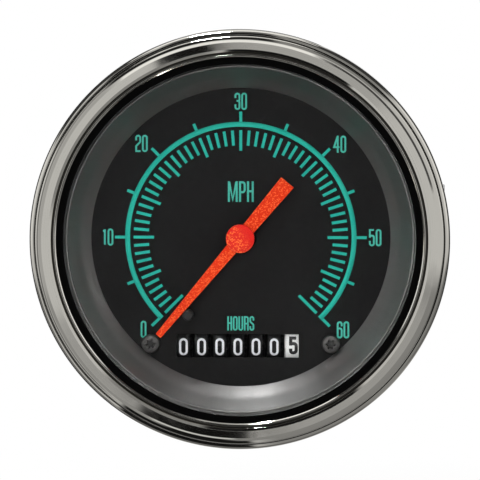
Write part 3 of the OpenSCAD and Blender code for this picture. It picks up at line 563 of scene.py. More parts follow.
@dataclass(frozen=True)
class Glazed(Finish):
    """Clear glass, greener towards its rim, that lets lamps light what is behind it."""

    name: str
    colour: Colour = (0.990, 0.994, 0.992)
    edge: Colour = (0.62, 0.86, 0.76)
    edge_from: float = 43.2
    edge_to: float = 44.0

    def wire(self, w: Wiring, where: Socket) -> Socket:
        """Wires the glass.

        Args:
            w: the material's wiring.
            where: the object coordinates.

        Returns:
            The shader's output.
        """
        x, _, z = w.parts(where)
        rim = w.ramp(w.reach(x, z), self.edge_from * MM, self.edge_to * MM)
        glass = w.put("ShaderNodeBsdfPrincipled", {
            "Base Color": w.blend(rim, self.colour, self.edge), "Roughness": 0.0, "IOR": 1.5,
            "Transmission Weight": 1.0})
        path = w.add("ShaderNodeLightPath").outputs
        soft = w.maths("MAXIMUM", path["Is Shadow Ray"], path["Is Diffuse Ray"])
        return w.put("ShaderNodeMixShader", {0: soft, 1: glass, 2: w.put("ShaderNodeBsdfTransparent")})


@dataclass(frozen=True)
class BoardFinish(Finish):
    """Solder mask over copper tracks."""

    name: str = "solder_mask"
    mask: Colour = (0.010, 0.130, 0.050)
    track: Colour = (0.020, 0.240, 0.090)
    rows: float = 2600.0
    posts: float = 900.0

    def wire(self, w: Wiring, where: Socket) -> Socket:
        """Wires the board.

        Args:
            w: the material's wiring.
            where: the object coordinates.

        Returns:
            The shader's output.
        """
        grain = fine_grain.place(w, where, scale=2500.0)
        x, _, z = w.parts(where)
        bend = w.noise(w.stretched(where, (1.0, 0.0, 1.0)), 90.0, 0.0)
        rows = w.maths("SINE", w.times(w.plus(z, w.times(bend, 0.012)), self.rows))
        posts = w.maths("SINE", w.times(w.plus(x, w.times(bend, 0.02)), self.posts))
        tracks = w.times(w.ramp(rows, 0.1, 0.35), w.ramp(posts, -0.7, -0.5))
        return w.put("ShaderNodeBsdfPrincipled", {
            "Base Color": w.blend(tracks, self.mask, self.track),
            "Roughness": w.ramp(grain["Tone"], 0.0, 1.0, 0.22, 0.34),
            "Normal": self.bump(w, w.plus(tracks, w.times(grain["Height"], 0.1)), 0.03)})


# The bezel's groove at the foot of its step and the groove inside its bead are darkened as painted shade
POLISHED = Metal("polished_stainless", (0.8, 0.778, 0.72), (0.72, 0.7, 0.642), Lay.TURNED,
                 0.08, 0.0001, 0.03, 0.03, grooves=((45.8, 0.26, 4.75), (41.73, 0.25, 5.72)))
ZINC_FITTINGS = Metal("zinc_fittings", (0.66, 0.66, 0.66), (0.5, 0.5, 0.52), Lay.NONE, 0.15, 0.002, 0.24,
                      0.14)
ZINC_STRAP = Metal("zinc_strap", (0.64, 0.64, 0.65), (0.52, 0.52, 0.54), Lay.ACROSS, 0.35, 0.004, 0.33, 0.06)
DRAWN_CASE = Metal("drawn_case", (0.62, 0.62, 0.63), (0.5, 0.5, 0.52), Lay.DEEP, 0.3, 0.006, 0.36, 0.015, 1.8)
GROUND = Metal("ground_steel", (0.7, 0.7, 0.7), (0.55, 0.55, 0.56), Lay.UPRIGHT, 0.06, 0.001, 0.2, 0.1)
PLATED_CAN = Metal("plated_can", (0.62, 0.62, 0.62), (0.5, 0.5, 0.5), Lay.ACROSS, 0.2, 0.003, 0.26, 0.12)
TINNED_CUP = Metal("tinned_cup", (0.64, 0.63, 0.61), (0.5, 0.5, 0.49), Lay.TURNED, 0.25, 0.004, 0.3, 0.14)
SHEET = Metal("aluminium_sheet", (0.72, 0.72, 0.73), (0.6, 0.6, 0.62), Lay.ACROSS, 0.18, 0.003, 0.34, 0.12)
BRASS = Metal("turned_brass", (0.72, 0.5, 0.2), (0.52, 0.33, 0.11), Lay.NONE, 0.1, 0.002, 0.22, 0.16)
TINNED_BRASS = Metal("tinned_brass", (0.74, 0.66, 0.48), (0.56, 0.46, 0.28), Lay.DEEP, 0.2, 0.003, 0.24, 0.18)
WINDING = Metal("enamelled_copper", (0.62, 0.23, 0.09), (0.4, 0.12, 0.04), Lay.NONE, 0.2, 0.002, 0.22, 0.1)
MAGNET = Coated("sintered_magnet", (0.06, 0.055, 0.055), (0.13, 0.12, 0.115), 0.12, 0.02, 0.55)
FERRITE = Coated("ferrite", (0.05, 0.05, 0.055), (0.1, 0.1, 0.105), 0.15, 0.02, 0.6)
RUBBER = Coated("seal_rubber", (0.0008, 0.0008, 0.0008), (0.0016, 0.0016, 0.0016), 0.12, 0.02, 0.45,
                sheen=0.03)
DIAL_PAINT = Coated("dial_paint", (0.0084, 0.0083, 0.0084), (0.0114, 0.0113, 0.0114), 0.09, 0.006, 0.75,
                    sheen=0.15)
REVEAL_PAINT = Coated("reveal_paint", (0.0085, 0.0085, 0.0083), (0.0115, 0.0115, 0.0112), 0.1, 0.006, 0.35,
                      sheen=0.8, density=2.3, worn=((38.86, 0.36, 1.4),), bare=(0.26, 0.26, 0.25), rays=0.07)
# The screws' recess floors and the lower sides of their heads are darkened as painted shade
SCREW_BLACK = Coated("blackened_screw", (0.045, 0.044, 0.043), (0.09, 0.087, 0.084), 0.14, 0.008, 0.32,
                     grooves=((31.43, 3.0, -4.05),))
PIN_BLACK = Coated("pin_black", (0.005, 0.005, 0.005), (0.01, 0.01, 0.01), 0.1, 0.004, 0.34)
SCALE_INK = Coated("scale_ink", (0.016, 0.4, 0.309), (0.031, 0.448, 0.35), 0.16, 0.004, 0.7, sheen=0.15)
NUMERAL_INK = Coated("numeral_ink", (0.057, 0.435, 0.34), (0.083, 0.487, 0.387), 0.16, 0.004, 0.7, sheen=0.15)
POINTER_PAINT = Coated("pointer_paint", (0.63, 0.0225, 0.0056), (0.715, 0.0385, 0.0092), 0.18, 0.012, 0.55,
                       0.08, 0.32, (0.88, 0.14, 0.038), 1.0, 0.06)
# The hub's granules fade out towards its upper right: painted light on the lower left, painted shade on the
# plain red upper right
HUB_PAINT = Coated("hub_paint", (0.6, 0.0145, 0.0115), (0.675, 0.0205, 0.014), 0.2, 0.006, 0.3,
                   0.08, 0.34, (0.88, 0.17, 0.038), 1.0, 0.1, sprayed=(-0.86, -0.51), brushed=0.9)
DRUM_BLACK = Coated("drum_black", (0.004, 0.004, 0.0044), (0.0075, 0.0075, 0.008), 0.12, 0.003, 0.45,
                    sheen=0.2)
DRUM_WHITE = Coated("drum_white", (0.9, 0.9, 0.89), (0.95, 0.95, 0.94), 0.14, 0.003, 0.42)
DIGIT_WHITE = Coated("digit_white", (0.73, 0.74, 0.79), (0.83, 0.84, 0.87), 0.18, 0.003, 0.5)
DIGIT_BLACK = Coated("digit_black", (0.008, 0.008, 0.008), (0.014, 0.014, 0.014), 0.18, 0.003, 0.5)
ACETAL = Coated("acetal", (0.72, 0.7, 0.62), (0.8, 0.78, 0.72), 0.2, 0.004, 0.38)
NYLON = Coated("natural_nylon", (0.76, 0.74, 0.68), (0.84, 0.82, 0.77), 0.4, 0.006, 0.4)
LIGHT_WHITE = Coated("light_white", (0.78, 0.78, 0.75), (0.85, 0.85, 0.83), 0.5, 0.006, 0.55)
MOULDED_BLACK = Coated("moulded_black", (0.015, 0.015, 0.0155), (0.027, 0.027, 0.0275), 0.18, 0.012, 0.48)
CHIP_BLACK = Coated("chip_black", (0.018, 0.018, 0.0185), (0.03, 0.03, 0.03), 0.1, 0.008, 0.55)
SLEEVE = Coated("capacitor_sleeve", (0.015, 0.024, 0.1), (0.022, 0.034, 0.14), 0.6, 0.004, 0.25)
TRIMMER_BLUE = Coated("trimmer_blue", (0.025, 0.09, 0.37), (0.035, 0.115, 0.43), 0.3, 0.004, 0.32)
ROTOR_WHITE = Coated("rotor_white", (0.75, 0.75, 0.73), (0.83, 0.83, 0.81), 0.2, 0.004, 0.42)
BOARD = BoardFinish()
LENS_GLASS = Glazed("lens_glass")
BULB_GLASS = Glazed("bulb_glass", (0.99, 0.98, 0.95), (0.99, 0.98, 0.95))


# Meshes


@dataclass(frozen=True)
class Corner:
    """A corner of a section: radius from the axis, level, and the radius of its rounding."""

    r: float
    z: float
    bend: float = 0.04


@dataclass(frozen=True)
class SectionPoint:
    """A point of a rounded section with the direction that its surface faces."""

    r: float
    z: float
    out_r: float
    out_z: float


def rounded_section(corners: Section, step: float = 9.0) -> list[SectionPoint]:
    """Rounds the corners of a closed section.

    Args:
        corners: the corners in order, either way round, each as a Corner's numbers.
        step: the most that one facet of a rounding turns, in degrees.

    Returns:
        The points of the rounded section, each with its outward direction.
    """
    ring = [Corner(*row) for row in corners]
    count = len(ring)
    if sum(a.r * b.z - b.r * a.z for a, b in zip(ring, [*ring[1:], ring[0]])) <= 0:
        ring.reverse()
    points: list[SectionPoint] = []
    for i, here in enumerate(ring):
        before, after = ring[i - 1], ring[(i + 1) % count]
        come = Vector((here.r - before.r, here.z - before.z)).normalized()
        leave = Vector((after.r - here.r, after.z - here.z)).normalized()
        face_in, face_out = Vector((come.y, -come.x)), Vector((leave.y, -leave.x))
        if here.r <= 0:
            facing = face_in if before.r > 0 else face_out
            points.append(SectionPoint(0.0, here.z, facing.x, facing.y))
            continue
        turn = math.atan2(come.x * leave.y - come.y * leave.x, come.dot(leave))
        side = 1.0 if turn > 0 else -1.0
        middle = (Vector((here.r, here.z)) - come * here.bend * math.tan(abs(turn) / 2)
                  - face_in * side * here.bend)
        facets = max(2, math.ceil(abs(math.degrees(turn)) / step))
        start = math.atan2(face_in.y, face_in.x)
        for k in range(facets + 1):
            angle = start + turn * k / facets
            facing = Vector((math.cos(angle), math.sin(angle)))
            spot = middle + facing * side * here.bend
            points.append(SectionPoint(spot.x, spot.y, facing.x, facing.y))
    return points


def new_object(name: str, vertices: Sequence[Sequence[float]], faces: Sequence[Sequence[int]],
               edges: Sequence[Sequence[int]] = ()) -> Object:
    """Makes an object from a list of points in millimetres.

    Args:
        name: the object's name.
        vertices: the points in the gauge's frame.
        faces: the faces, as places in the list of points.
        edges: loose edges, the same way.

    Returns:
        The new object, in the scene, in metres, not yet stood on edge.
    """
    mesh = bpy.data.meshes.new(name)
    mesh.from_pydata([tuple(c * MM for c in v) for v in vertices], list(edges), list(faces))
    made = bpy.data.objects.new(name, mesh)
    bpy.context.scene.collection.objects.link(made)
    return made


@contextmanager
def reshaped(mesh: bpy.types.Mesh) -> Iterator[bmesh.types.BMesh]:
    """Opens a mesh for editing and writes the result back.

    Args:
        mesh: the mesh.

    Yields:
        The shape to edit.
    """
    shape = bmesh.new()
    shape.from_mesh(mesh)
    yield shape
    shape.to_mesh(mesh)
    shape.free()


def face_outwards(made: Object) -> None:
    """Turns an object's faces outwards."""
    with reshaped(made.data) as shape:
        bmesh.ops.recalc_face_normals(shape, faces=shape.faces)


def smooth(made: Object, angle: float) -> None:
    """Shades an object smooth, with edges sharper than an angle in degrees left sharp."""
    made.data.shade_smooth()
    made.data.set_sharp_from_angle(angle=math.radians(angle))


def baked(made: Object) -> Object:
    """Turns an object with modifiers into a plain mesh.

    Args:
        made: the object.

    Returns:
        The same object, with the modifiers' result as its mesh and no modifiers.
    """
    graph = bpy.context.evaluated_depsgraph_get()
    result = bpy.data.meshes.new_from_object(made.evaluated_get(graph), depsgraph=graph)
    made.modifiers.clear()
    result.name = made.name
    made.data = result
    return made


def softened(made: Object, width: float, segments: int = 2) -> Object:
    """Rounds an object's edges that are sharper than 30 degrees.

    Args:
        made: the object.
        width: the width of the rounding in millimetres.
        segments: the facets across it.

    Returns:
        The same object with a plain mesh.
    """
    bevel = made.modifiers.new("rounding", "BEVEL")
    bevel.width, bevel.segments = width * MM, segments
    bevel.limit_method, bevel.angle_limit = "ANGLE", math.radians(30)
    bevel.miter_outer = "MITER_ARC"
    baked(made)
    smooth(made, 40.0)
    weigh = made.modifiers.new("faces", "WEIGHTED_NORMAL")
    weigh.keep_sharp = True
    return baked(made)


def turned_solid(name: str, rings: Sequence[tuple[Angular, Angular]], segments: int = 72,
                 at: Point = (0.0, 0.0)) -> Object:
    """Makes a closed solid from rings round an axis that need not be round.

    Args:
        name: the object's name.
        rings: each ring's radius and level, as numbers or as functions of the angle in degrees.
            A first or last radius of 0 closes that end; otherwise the last ring meets the first.
        segments: the points in a ring.
        at: where the axis stands on the dial.

    Returns:
        The new object.
    """
    def read(value: Angular, angle: float) -> float:
        """Returns a ring's number at an angle."""
        return value(angle) if callable(value) else value

    vertices: list[Place] = []
    loops: list[list[int]] = []
    for radius, level in rings:
        if radius == 0:
            vertices.append((at[0], at[1], read(level, 0.0)))
            loops.append([len(vertices) - 1] * segments)
            continue
        loop = []
        for k in range(segments):
            angle = 360.0 * k / segments
            r, turn = read(radius, angle), math.radians(angle)
            vertices.append((at[0] + r * math.cos(turn), at[1] + r * math.sin(turn), read(level, angle)))
            loop.append(len(vertices) - 1)
        loops.append(loop)
    closed = rings[0][0] != 0 and rings[-1][0] != 0
    faces = []
    for first, second in zip(loops, [*loops[1:], *([loops[0]] if closed else [])]):
        for k in range(segments):
            n = (k + 1) % segments
            corners = [first[k], first[n], second[n], second[k]]
            face = [c for i, c in enumerate(corners) if c not in corners[:i]]
            if len(face) > 2:
                faces.append(face)
    made = new_object(name, vertices, faces)
    face_outwards(made)
    return made


def dress_section(made: Object, section: Sequence[SectionPoint], at: Point = (0.0, 0.0)) -> None:
    """Gives a turned object the exact normals of its section.

    Args:
        made: the object, not yet stood on edge.
        section: the section that it was turned from.
        at: where its axis stands on the dial.
    """
    known = {(round(p.r, 3), round(p.z, 3)): (p.out_r, p.out_z) for p in section}
    normals = []
    for vertex in made.data.vertices:
        x, y = vertex.co.x / MM - at[0], vertex.co.y / MM - at[1]
        radius = math.hypot(x, y)
        out_r, out_z = known.get((round(radius, 3), round(vertex.co.z / MM, 3)), (None, None))
        if out_r is None:
            near = min(section, key=lambda p: (p.r - radius) ** 2 + (p.z - vertex.co.z / MM) ** 2)
            out_r, out_z = near.out_r, near.out_z
        if radius < 1e-6:
            normals.append((0.0, 0.0, out_z))
        else:
            normals.append((out_r * x / radius, out_r * y / radius, out_z))
    made.data.shade_smooth()
    made.data.normals_split_custom_set_from_vertices(normals)


def lathe(name: str, corners: Section, segments: int = 128, at: Point = (0.0, 0.0),
          step: float = 9.0) -> Object:
    """Turns a section that reaches the axis, or a ring, into a solid with exact normals.

    Args:
        name: the object's name.
        corners: the section's corners; those with a radius of 0 lie on the axis.
        segments: the points in a ring.
        at: where the axis stands on the dial.
        step: the most that one facet of a rounding turns, in degrees.

    Returns:
        The new object.
    """
    section = rounded_section(corners, step)
    poles = [i for i, p in enumerate(section) if p.r == 0]
    if poles:
        first = next(i for i in poles if section[i - 1].r == 0)
        section = section[first:] + section[:first]
    made = turned_solid(name, [(p.r, p.z) for p in section], segments, at)
    dress_section(made, section, at)
    return made


def hexagon(across_flats: float, angle: float) -> float:
    """Returns a hexagon's radius at an angle in degrees."""
    return across_flats / 2 / math.cos(math.radians((angle + 30) % 60 - 30))


def prism(name: str, outline: Sequence[Point], z0: float, z1: float) -> Object:
    """Raises an outline between two levels.

    Args:
        name: the object's name.
        outline: the outline's points, in order.
        z0: the lower level.
        z1: the upper level.

    Returns:
        The new object.
    """
    count = len(outline)
    vertices = [(x, y, z) for z in (z0, z1) for x, y in outline]
    sides = [(k, (k + 1) % count, count + (k + 1) % count, count + k) for k in range(count)]
    made = new_object(name, vertices, [tuple(range(count)), tuple(range(count, 2 * count)), *sides])
    face_outwards(made)
    return made


def joined(name: str, parts: Sequence[Object]) -> Object:
    """Joins several plain objects into one.

    Args:
        name: the joined object's name.
        parts: the objects, which are removed.

    Returns:
        The joined object.
    """
    vertices: list[Place] = []
    faces: list[list[int]] = []
    for part in parts:
        start = len(vertices)
        vertices += [tuple(v.co / MM) for v in part.data.vertices]
        faces += [[start + i for i in p.vertices] for p in part.data.polygons]
        drop(part)
    return new_object(name, vertices, faces)


def drop(made: Object) -> None:
    """Removes an object that only helped to make another."""
    bpy.data.objects.remove(made, do_unlink=True)


def stood(made: Object) -> Object:
    """Stands an object's mesh on edge, so that its dial side faces -Y, and returns it."""
    made.data.transform(STAND)
    return made


# Geometry Nodes


# Points along the printed arc, round a wire, along a turn of thread and round its ridge
ARC_POINTS = 241
WIRE_POINTS = 6
THREAD_POINTS = 24
RIDGE_POINTS = 4


class Recipe(Wiring):
    """A Geometry Nodes tree with named inputs."""

    def __init__(self, name: str, **inputs: Sequence[str]) -> None:
        """Starts the tree.

        Args:
            name: the tree's name.
            inputs: the inputs' names, by their kind of socket.
        """
        super().__init__(bpy.data.node_groups.new(name, "GeometryNodeTree"))
        face = self.tree.interface
        face.new_socket("Geometry", in_out="INPUT", socket_type="NodeSocketGeometry")
        for kind, labels in {**inputs, "Material": ["Finish"]}.items():
            for label in labels:
                face.new_socket(label, in_out="INPUT", socket_type="NodeSocket" + kind)
        face.new_socket("Geometry", in_out="OUTPUT", socket_type="NodeSocketGeometry")
        self.given = {out.name: out for out in self.add("NodeGroupInput").outputs if out.name}

    def close(self, shape: Socket, stand: bool = True) -> None:
        """Ends the tree.

        Args:
            shape: the geometry to put out.
            stand: whether it is stood on edge.
        """
        if stand:
            shape = self.put("GeometryNodeTransform", {
                "Geometry": shape, "Rotation": (math.radians(90), 0.0, 0.0)})
        whole = self.put("GeometryNodeRealizeInstances", {"Geometry": shape})
        dressed = self.put("GeometryNodeSetMaterial", {"Geometry": whole, "Material": self.given["Finish"]})
        self.add("NodeGroupOutput", {"Geometry": dressed})

    def turn(self, z: Fed) -> Socket:
        """Returns a rotation about z from an angle in radians."""
        euler = self.vector(0.0, 0.0, z)
        return self.put("FunctionNodeEulerToRotation", {"Euler": euler})

    def angle(self) -> Socket:
        """Returns each point's angle, from the inputs First Angle and Step Angle."""
        turned = self.times(self.index(), self.given["Step Angle"])
        return self.plus(self.given["First Angle"], turned)

    def polar(self, distance: Fed, angle: Fed, level: Fed) -> Socket:
        """Returns a place by its distance from the dial's axis, its angle and its level."""
        across, up = (self.maths(way, angle) for way in ("COSINE", "SINE"))
        return self.vector(self.times(distance, across), self.times(distance, up), level)

    def row(self, count: Fed) -> Socket:
        """Returns a number of points in one spot."""
        return self.put("GeometryNodeMeshLine", {"Count": count, "Offset": (0.0, 0.0, 0.0)})

    def index(self) -> Socket:
        """Returns each point's place in its row."""
        return self.put("GeometryNodeInputIndex")

    def choose(self, test: Fed, when_false: Fed, when_true: Fed) -> Socket:
        """Returns one of two numbers by a test."""
        feeds = {"Switch": test, "False": when_false, "True": when_true}
        return self.put("GeometryNodeSwitch", feeds, input_type="FLOAT")

    def nil(self, value: Fed) -> Socket:
        """Returns whether a number is 0."""
        return self.maths("COMPARE", value, 0.0, 0.25)

    def grow(self, name: str, values: dict[str, object], finish: Finish,
             base: Object | None = None) -> Object:
        """Runs the tree and keeps its result.

        Args:
            name: the new object's name.
            values: the inputs' values by name.
            finish: the finish that it gets.
            base: the object that the tree starts from, which is used up.

        Returns:
            An object with the result as its plain mesh.
        """
        made = base or new_object(name, [], [])
        made.name = name
        modifier = made.modifiers.new("recipe", "NODES")
        modifier.node_group = self.tree
        asked = {"Finish": finish.material(), **values}
        for item in self.tree.interface.items_tree:
            if item.in_out == "INPUT" and item.name in asked:
                modifier[item.identifier] = asked[item.name]
        return baked(made)


def turned_ring() -> Recipe:
    """Wires the tree that sweeps a section round the dial's axis.

    Returns:
        The tree.
    """
    w = Recipe("turned_ring", Int=["Segments"], Float=["Rail Radius"])
    given = w.given
    section = w.put("GeometryNodeMeshToCurve", {"Mesh": given["Geometry"]})
    rail = w.put("GeometryNodeCurvePrimitiveCircle", {
        "Resolution": given["Segments"], "Radius": given["Rail Radius"]})
    swept = w.put("GeometryNodeCurveToMesh", {"Curve": rail, "Profile Curve": section})
    w.close(swept, stand=False)
    return w


def dial_marks() -> Recipe:
    """Wires the tree that prints a dial's marks, ticks and arc.

    Returns:
        The tree.
    """
    w = Recipe("dial_marks", Int=["Marks"], Float=[
        "First Angle", "Step Angle", "Unit Radius", "Five Radius", "End Radius", "Top Radius",
        "Arc Radius", "Arc Width", "Tick Five Radius", "Tick Ten Radius", "Mark Width", "Ink", "Level"])
    given = w.given
    place, angle = w.index(), w.angle()
    last = w.minus(given["Marks"], 1)
    at_end = w.maths("MAXIMUM", w.nil(place), w.nil(w.minus(place, last)))
    at_five = w.nil(w.maths("MODULO", place, 5))
    at_ten = w.nil(w.maths("MODULO", place, 10))
    bar = w.put("GeometryNodeMeshCube", {"Size": (1.0, 1.0, 1.0)})
    level = w.plus(given["Level"], w.times(given["Ink"], 0.5))

    def bars(inner: Fed, outer: Fed, kept: Fed) -> Socket:
        """Puts a bar at each kept point.

        Args:
            inner: the radius where the bars start.
            outer: the radius where they end.
            kept: which points get one.

        Returns:
            The bars.
        """
        spot = w.polar(w.times(w.plus(inner, outer), 0.5), angle, level)
        points = w.put("GeometryNodeSetPosition", {"Geometry": w.row(given["Marks"]), "Position": spot})
        size = w.vector(w.minus(outer, inner), given["Mark Width"], given["Ink"])
        return w.put("GeometryNodeInstanceOnPoints", {
            "Points": points, "Selection": kept, "Instance": bar,
            "Rotation": w.turn(angle), "Scale": size})

    inner = w.choose(at_end, w.choose(at_five, given["Unit Radius"], given["Five Radius"]),
                     given["End Radius"])
    edge = w.plus(given["Arc Radius"], w.times(given["Arc Width"], 0.5))
    ticks = w.choose(at_ten, given["Tick Five Radius"], given["Tick Ten Radius"])
    sweep = w.times(last, given["Step Angle"])
    spare = w.maths("DIVIDE", w.times(given["Mark Width"], 0.5), given["Arc Radius"])
    start = w.minus(w.plus(given["First Angle"], sweep), spare)
    band = w.put("GeometryNodeCurveToMesh", {
        "Curve": w.put("GeometryNodeCurveArc", {
            "Resolution": ARC_POINTS, "Radius": given["Arc Radius"], "Start Angle": start,
            "Sweep Angle": w.plus(w.times(sweep, -1.0), w.times(spare, 2.0)),
        }),
        "Profile Curve": w.put("GeometryNodeCurvePrimitiveQuadrilateral", {
            "Width": given["Arc Width"], "Height": given["Ink"]}),
        "Fill Caps": True})
    band = w.put("GeometryNodeTransform", {"Geometry": band, "Translation": w.vector(z=level)})
    whole = w.add("GeometryNodeJoinGeometry")
    for part in (bars(inner, given["Top Radius"], True), bars(edge, ticks, at_five), band):
        w.feed(whole.inputs[0], part)
    w.close(whole.outputs[0])
    return w


def placed_round() -> Recipe:
    """Wires the tree that repeats a fitting at places round the dial's axis.

    Returns:
        The tree.
    """
    w = Recipe("placed_round", Int=["Count"], Float=[
        "First Angle", "Step Angle", "Distance", "Level", "Turned"])
    given = w.given
    angle = w.angle()
    spot = w.polar(given["Distance"], angle, given["Level"])
    points = w.put("GeometryNodeSetPosition", {"Geometry": w.row(given["Count"]), "Position": spot})
    spin = w.times(angle, given["Turned"])
    w.close(w.put("GeometryNodeInstanceOnPoints", {
        "Points": points, "Instance": given["Geometry"], "Rotation": w.turn(spin),
    }))
    return w


def drum_digits() -> Recipe:
    """Wires the tree that prints ten digits round a number drum.

    Returns:
        The tree.
    """
    w = Recipe(
        "drum_digits", Collection=["Digits"], Float=["Step Angle", "First Angle"], Vector=["Axis"])
    given = w.given
    spin = w.put("FunctionNodeEulerToRotation", {"Euler": w.vector(w.times(w.angle(), -1.0))})
    digits = w.put("GeometryNodeCollectionInfo", {
        "Collection": given["Digits"], "Separate Children": True, "Reset Children": True})
    ring = w.put("GeometryNodeInstanceOnPoints", {
        "Points": w.row(10), "Instance": digits, "Pick Instance": True,
        "Instance Index": w.index(), "Rotation": spin})
    w.close(w.put("GeometryNodeTransform", {"Geometry": ring, "Translation": given["Axis"]}))
    return w


def wire_turns() -> Recipe:
    """Wires the tree that winds round wire side by side along a loop.

    Returns:
        The tree.
    """
    w = Recipe(
        "wire_turns", Int=["Turns"], Float=["Wire Radius"], Vector=["Pitch", "Start", "Other Start"])
    given = w.given
    loop = w.put("GeometryNodeMeshToCurve", {"Mesh": given["Geometry"]})
    wire = w.put("GeometryNodeCurveToMesh", {
        "Curve": loop, "Profile Curve": w.put("GeometryNodeCurvePrimitiveCircle", {
            "Resolution": WIRE_POINTS, "Radius": given["Wire Radius"]})})
    whole = w.add("GeometryNodeJoinGeometry")
    for start in ("Start", "Other Start"):
        line = w.put("GeometryNodeMeshLine", {
            "Count": given["Turns"], "Start Location": given[start], "Offset": given["Pitch"]})
        w.feed(whole.inputs[0], w.put("GeometryNodeInstanceOnPoints", {
            "Points": line, "Instance": wire}))
    w.close(whole.outputs[0])
    return w


def screw_thread() -> Recipe:
    """Wires the tree that winds a thread's ridge round two studs.

    Returns:
        The tree.
    """
    w = Recipe("screw_thread", Float=["Turns", "Root Radius", "Length", "Ridge", "Side", "Level"])
    given = w.given
    helix = w.put("GeometryNodeCurveSpiral", {
        "Resolution": THREAD_POINTS, "Rotations": given["Turns"], "Start Radius": given["Root Radius"],
        "End Radius": given["Root Radius"], "Height": given["Length"]})
    ridge = w.put("GeometryNodeCurvePrimitiveCircle", {"Resolution": RIDGE_POINTS, "Radius": given["Ridge"]})
    thread = w.put("GeometryNodeCurveToMesh", {
        "Curve": helix, "Profile Curve": ridge, "Fill Caps": True})
    whole = w.add("GeometryNodeJoinGeometry")
    w.feed(whole.inputs[0], given["Geometry"])
    for side in (-1.0, 1.0):
        spot = w.vector(w.times(given["Side"], side), 0.0, given["Level"])
        w.feed(whole.inputs[0], w.put("GeometryNodeTransform", {
            "Geometry": thread, "Translation": spot}))
    w.close(whole.outputs[0])
    return w


# Lettering


@dataclass(frozen=True)
class Stroke:
    """One stroke of a glyph on a grid one unit wide and high; each point has its corner's bend."""

    points: tuple[Place, ...]
    closed: bool = False


GLYPHS: dict[str, tuple[Stroke, ...]] = {
    "0": (Stroke(((0, 0, .5), (1, 0, .5), (1, 1, .5), (0, 1, .5)), True),),
    "1": (Stroke(((.62, 0, 0), (.62, 1, 0))), Stroke(((.0, .86, 0), (.62, .965, 0)))),
    "2": (Stroke(((0, .70, 0), (0, 1, .5), (1, 1, .5), (1, .60, .3), (0, .32, .3), (0, 0, 0), (1.1, 0, 0))),),
    "3": (Stroke(((0, .72, 0), (0, 1, .5), (1, 1, .5), (1, .53, .3), (.3, .53, 0))),
          Stroke(((.3, .53, 0), (1, .53, .3), (1, 0, .5), (0, 0, .5), (0, .30, 0)))),
    "4": (Stroke(((.76, 1.0, 0), (0, .31, 0), (1.16, .31, 0))), Stroke(((.8, 1.05, 0), (.8, -.05, 0)))),
    "5": (Stroke(((1, 1, 0), (0, 1, 0), (0, .50, 0))),
          Stroke(((0, .54, 0), (.1, .63, .2), (1, .63, .5), (1, 0, .5), (0, 0, .5), (0, .29, 0)))),
    "6": (Stroke(((1, .73, 0), (1, 1, .5), (0, 1, .5), (0, 0, .5), (1, 0, .5), (1, .59, .5),
                  (.05, .59, 0))),),
    "7": (Stroke(((0, 1, 0), (1, 1, 0), (1, .80, .3), (.35, 0, 0))),),
    "8": (Stroke(((.04, .52, .45), (.96, .52, .45), (.96, 1, .45), (.04, 1, .45)), True),
          Stroke(((0, 0, .5), (1, 0, .5), (1, .52, .5), (0, .52, .5)), True)),
    "9": (Stroke(((0, .27, 0), (0, 0, .5), (1, 0, .5), (1, 1, .5), (0, 1, .5), (0, .41, .5),
                  (.95, .41, 0))),),
    "M": (Stroke(((0, -.05, 0), (0, 1.05, 0))), Stroke(((1, -.05, 0), (1, 1.05, 0))),
          Stroke(((.06, 1.0, 0), (.5, .07, 0), (.94, 1.0, 0)))),
    "P": (Stroke(((0, -.05, 0), (0, 1, 0), (1, 1, .5), (1, .47, .5), (0, .47, 0))),),
    "H": (Stroke(((0, -.05, 0), (0, 1.05, 0))), Stroke(((1, -.05, 0), (1, 1.05, 0))),
          Stroke(((0, .52, 0), (1, .52, 0)))),
    "U": (Stroke(((0, 1.05, 0), (0, 0, .5), (1, 0, .5), (1, 1.05, 0))),),
    "R": (Stroke(((0, -.05, 0), (0, 1, 0), (1, 1, .5), (1, .48, .4), (0, .48, 0))),
          Stroke(((.5, .48, 0), (1, .48, .4), (1, -.05, 0)))),
    "S": (Stroke(((1, .72, 0), (1, 1, .5), (0, 1, .5), (0, .62, .45), (1, .41, .45), (1, 0, .5), (0, 0, .5),
                  (0, .28, 0))),),
}
GLYPHS["O"] = GLYPHS["0"]


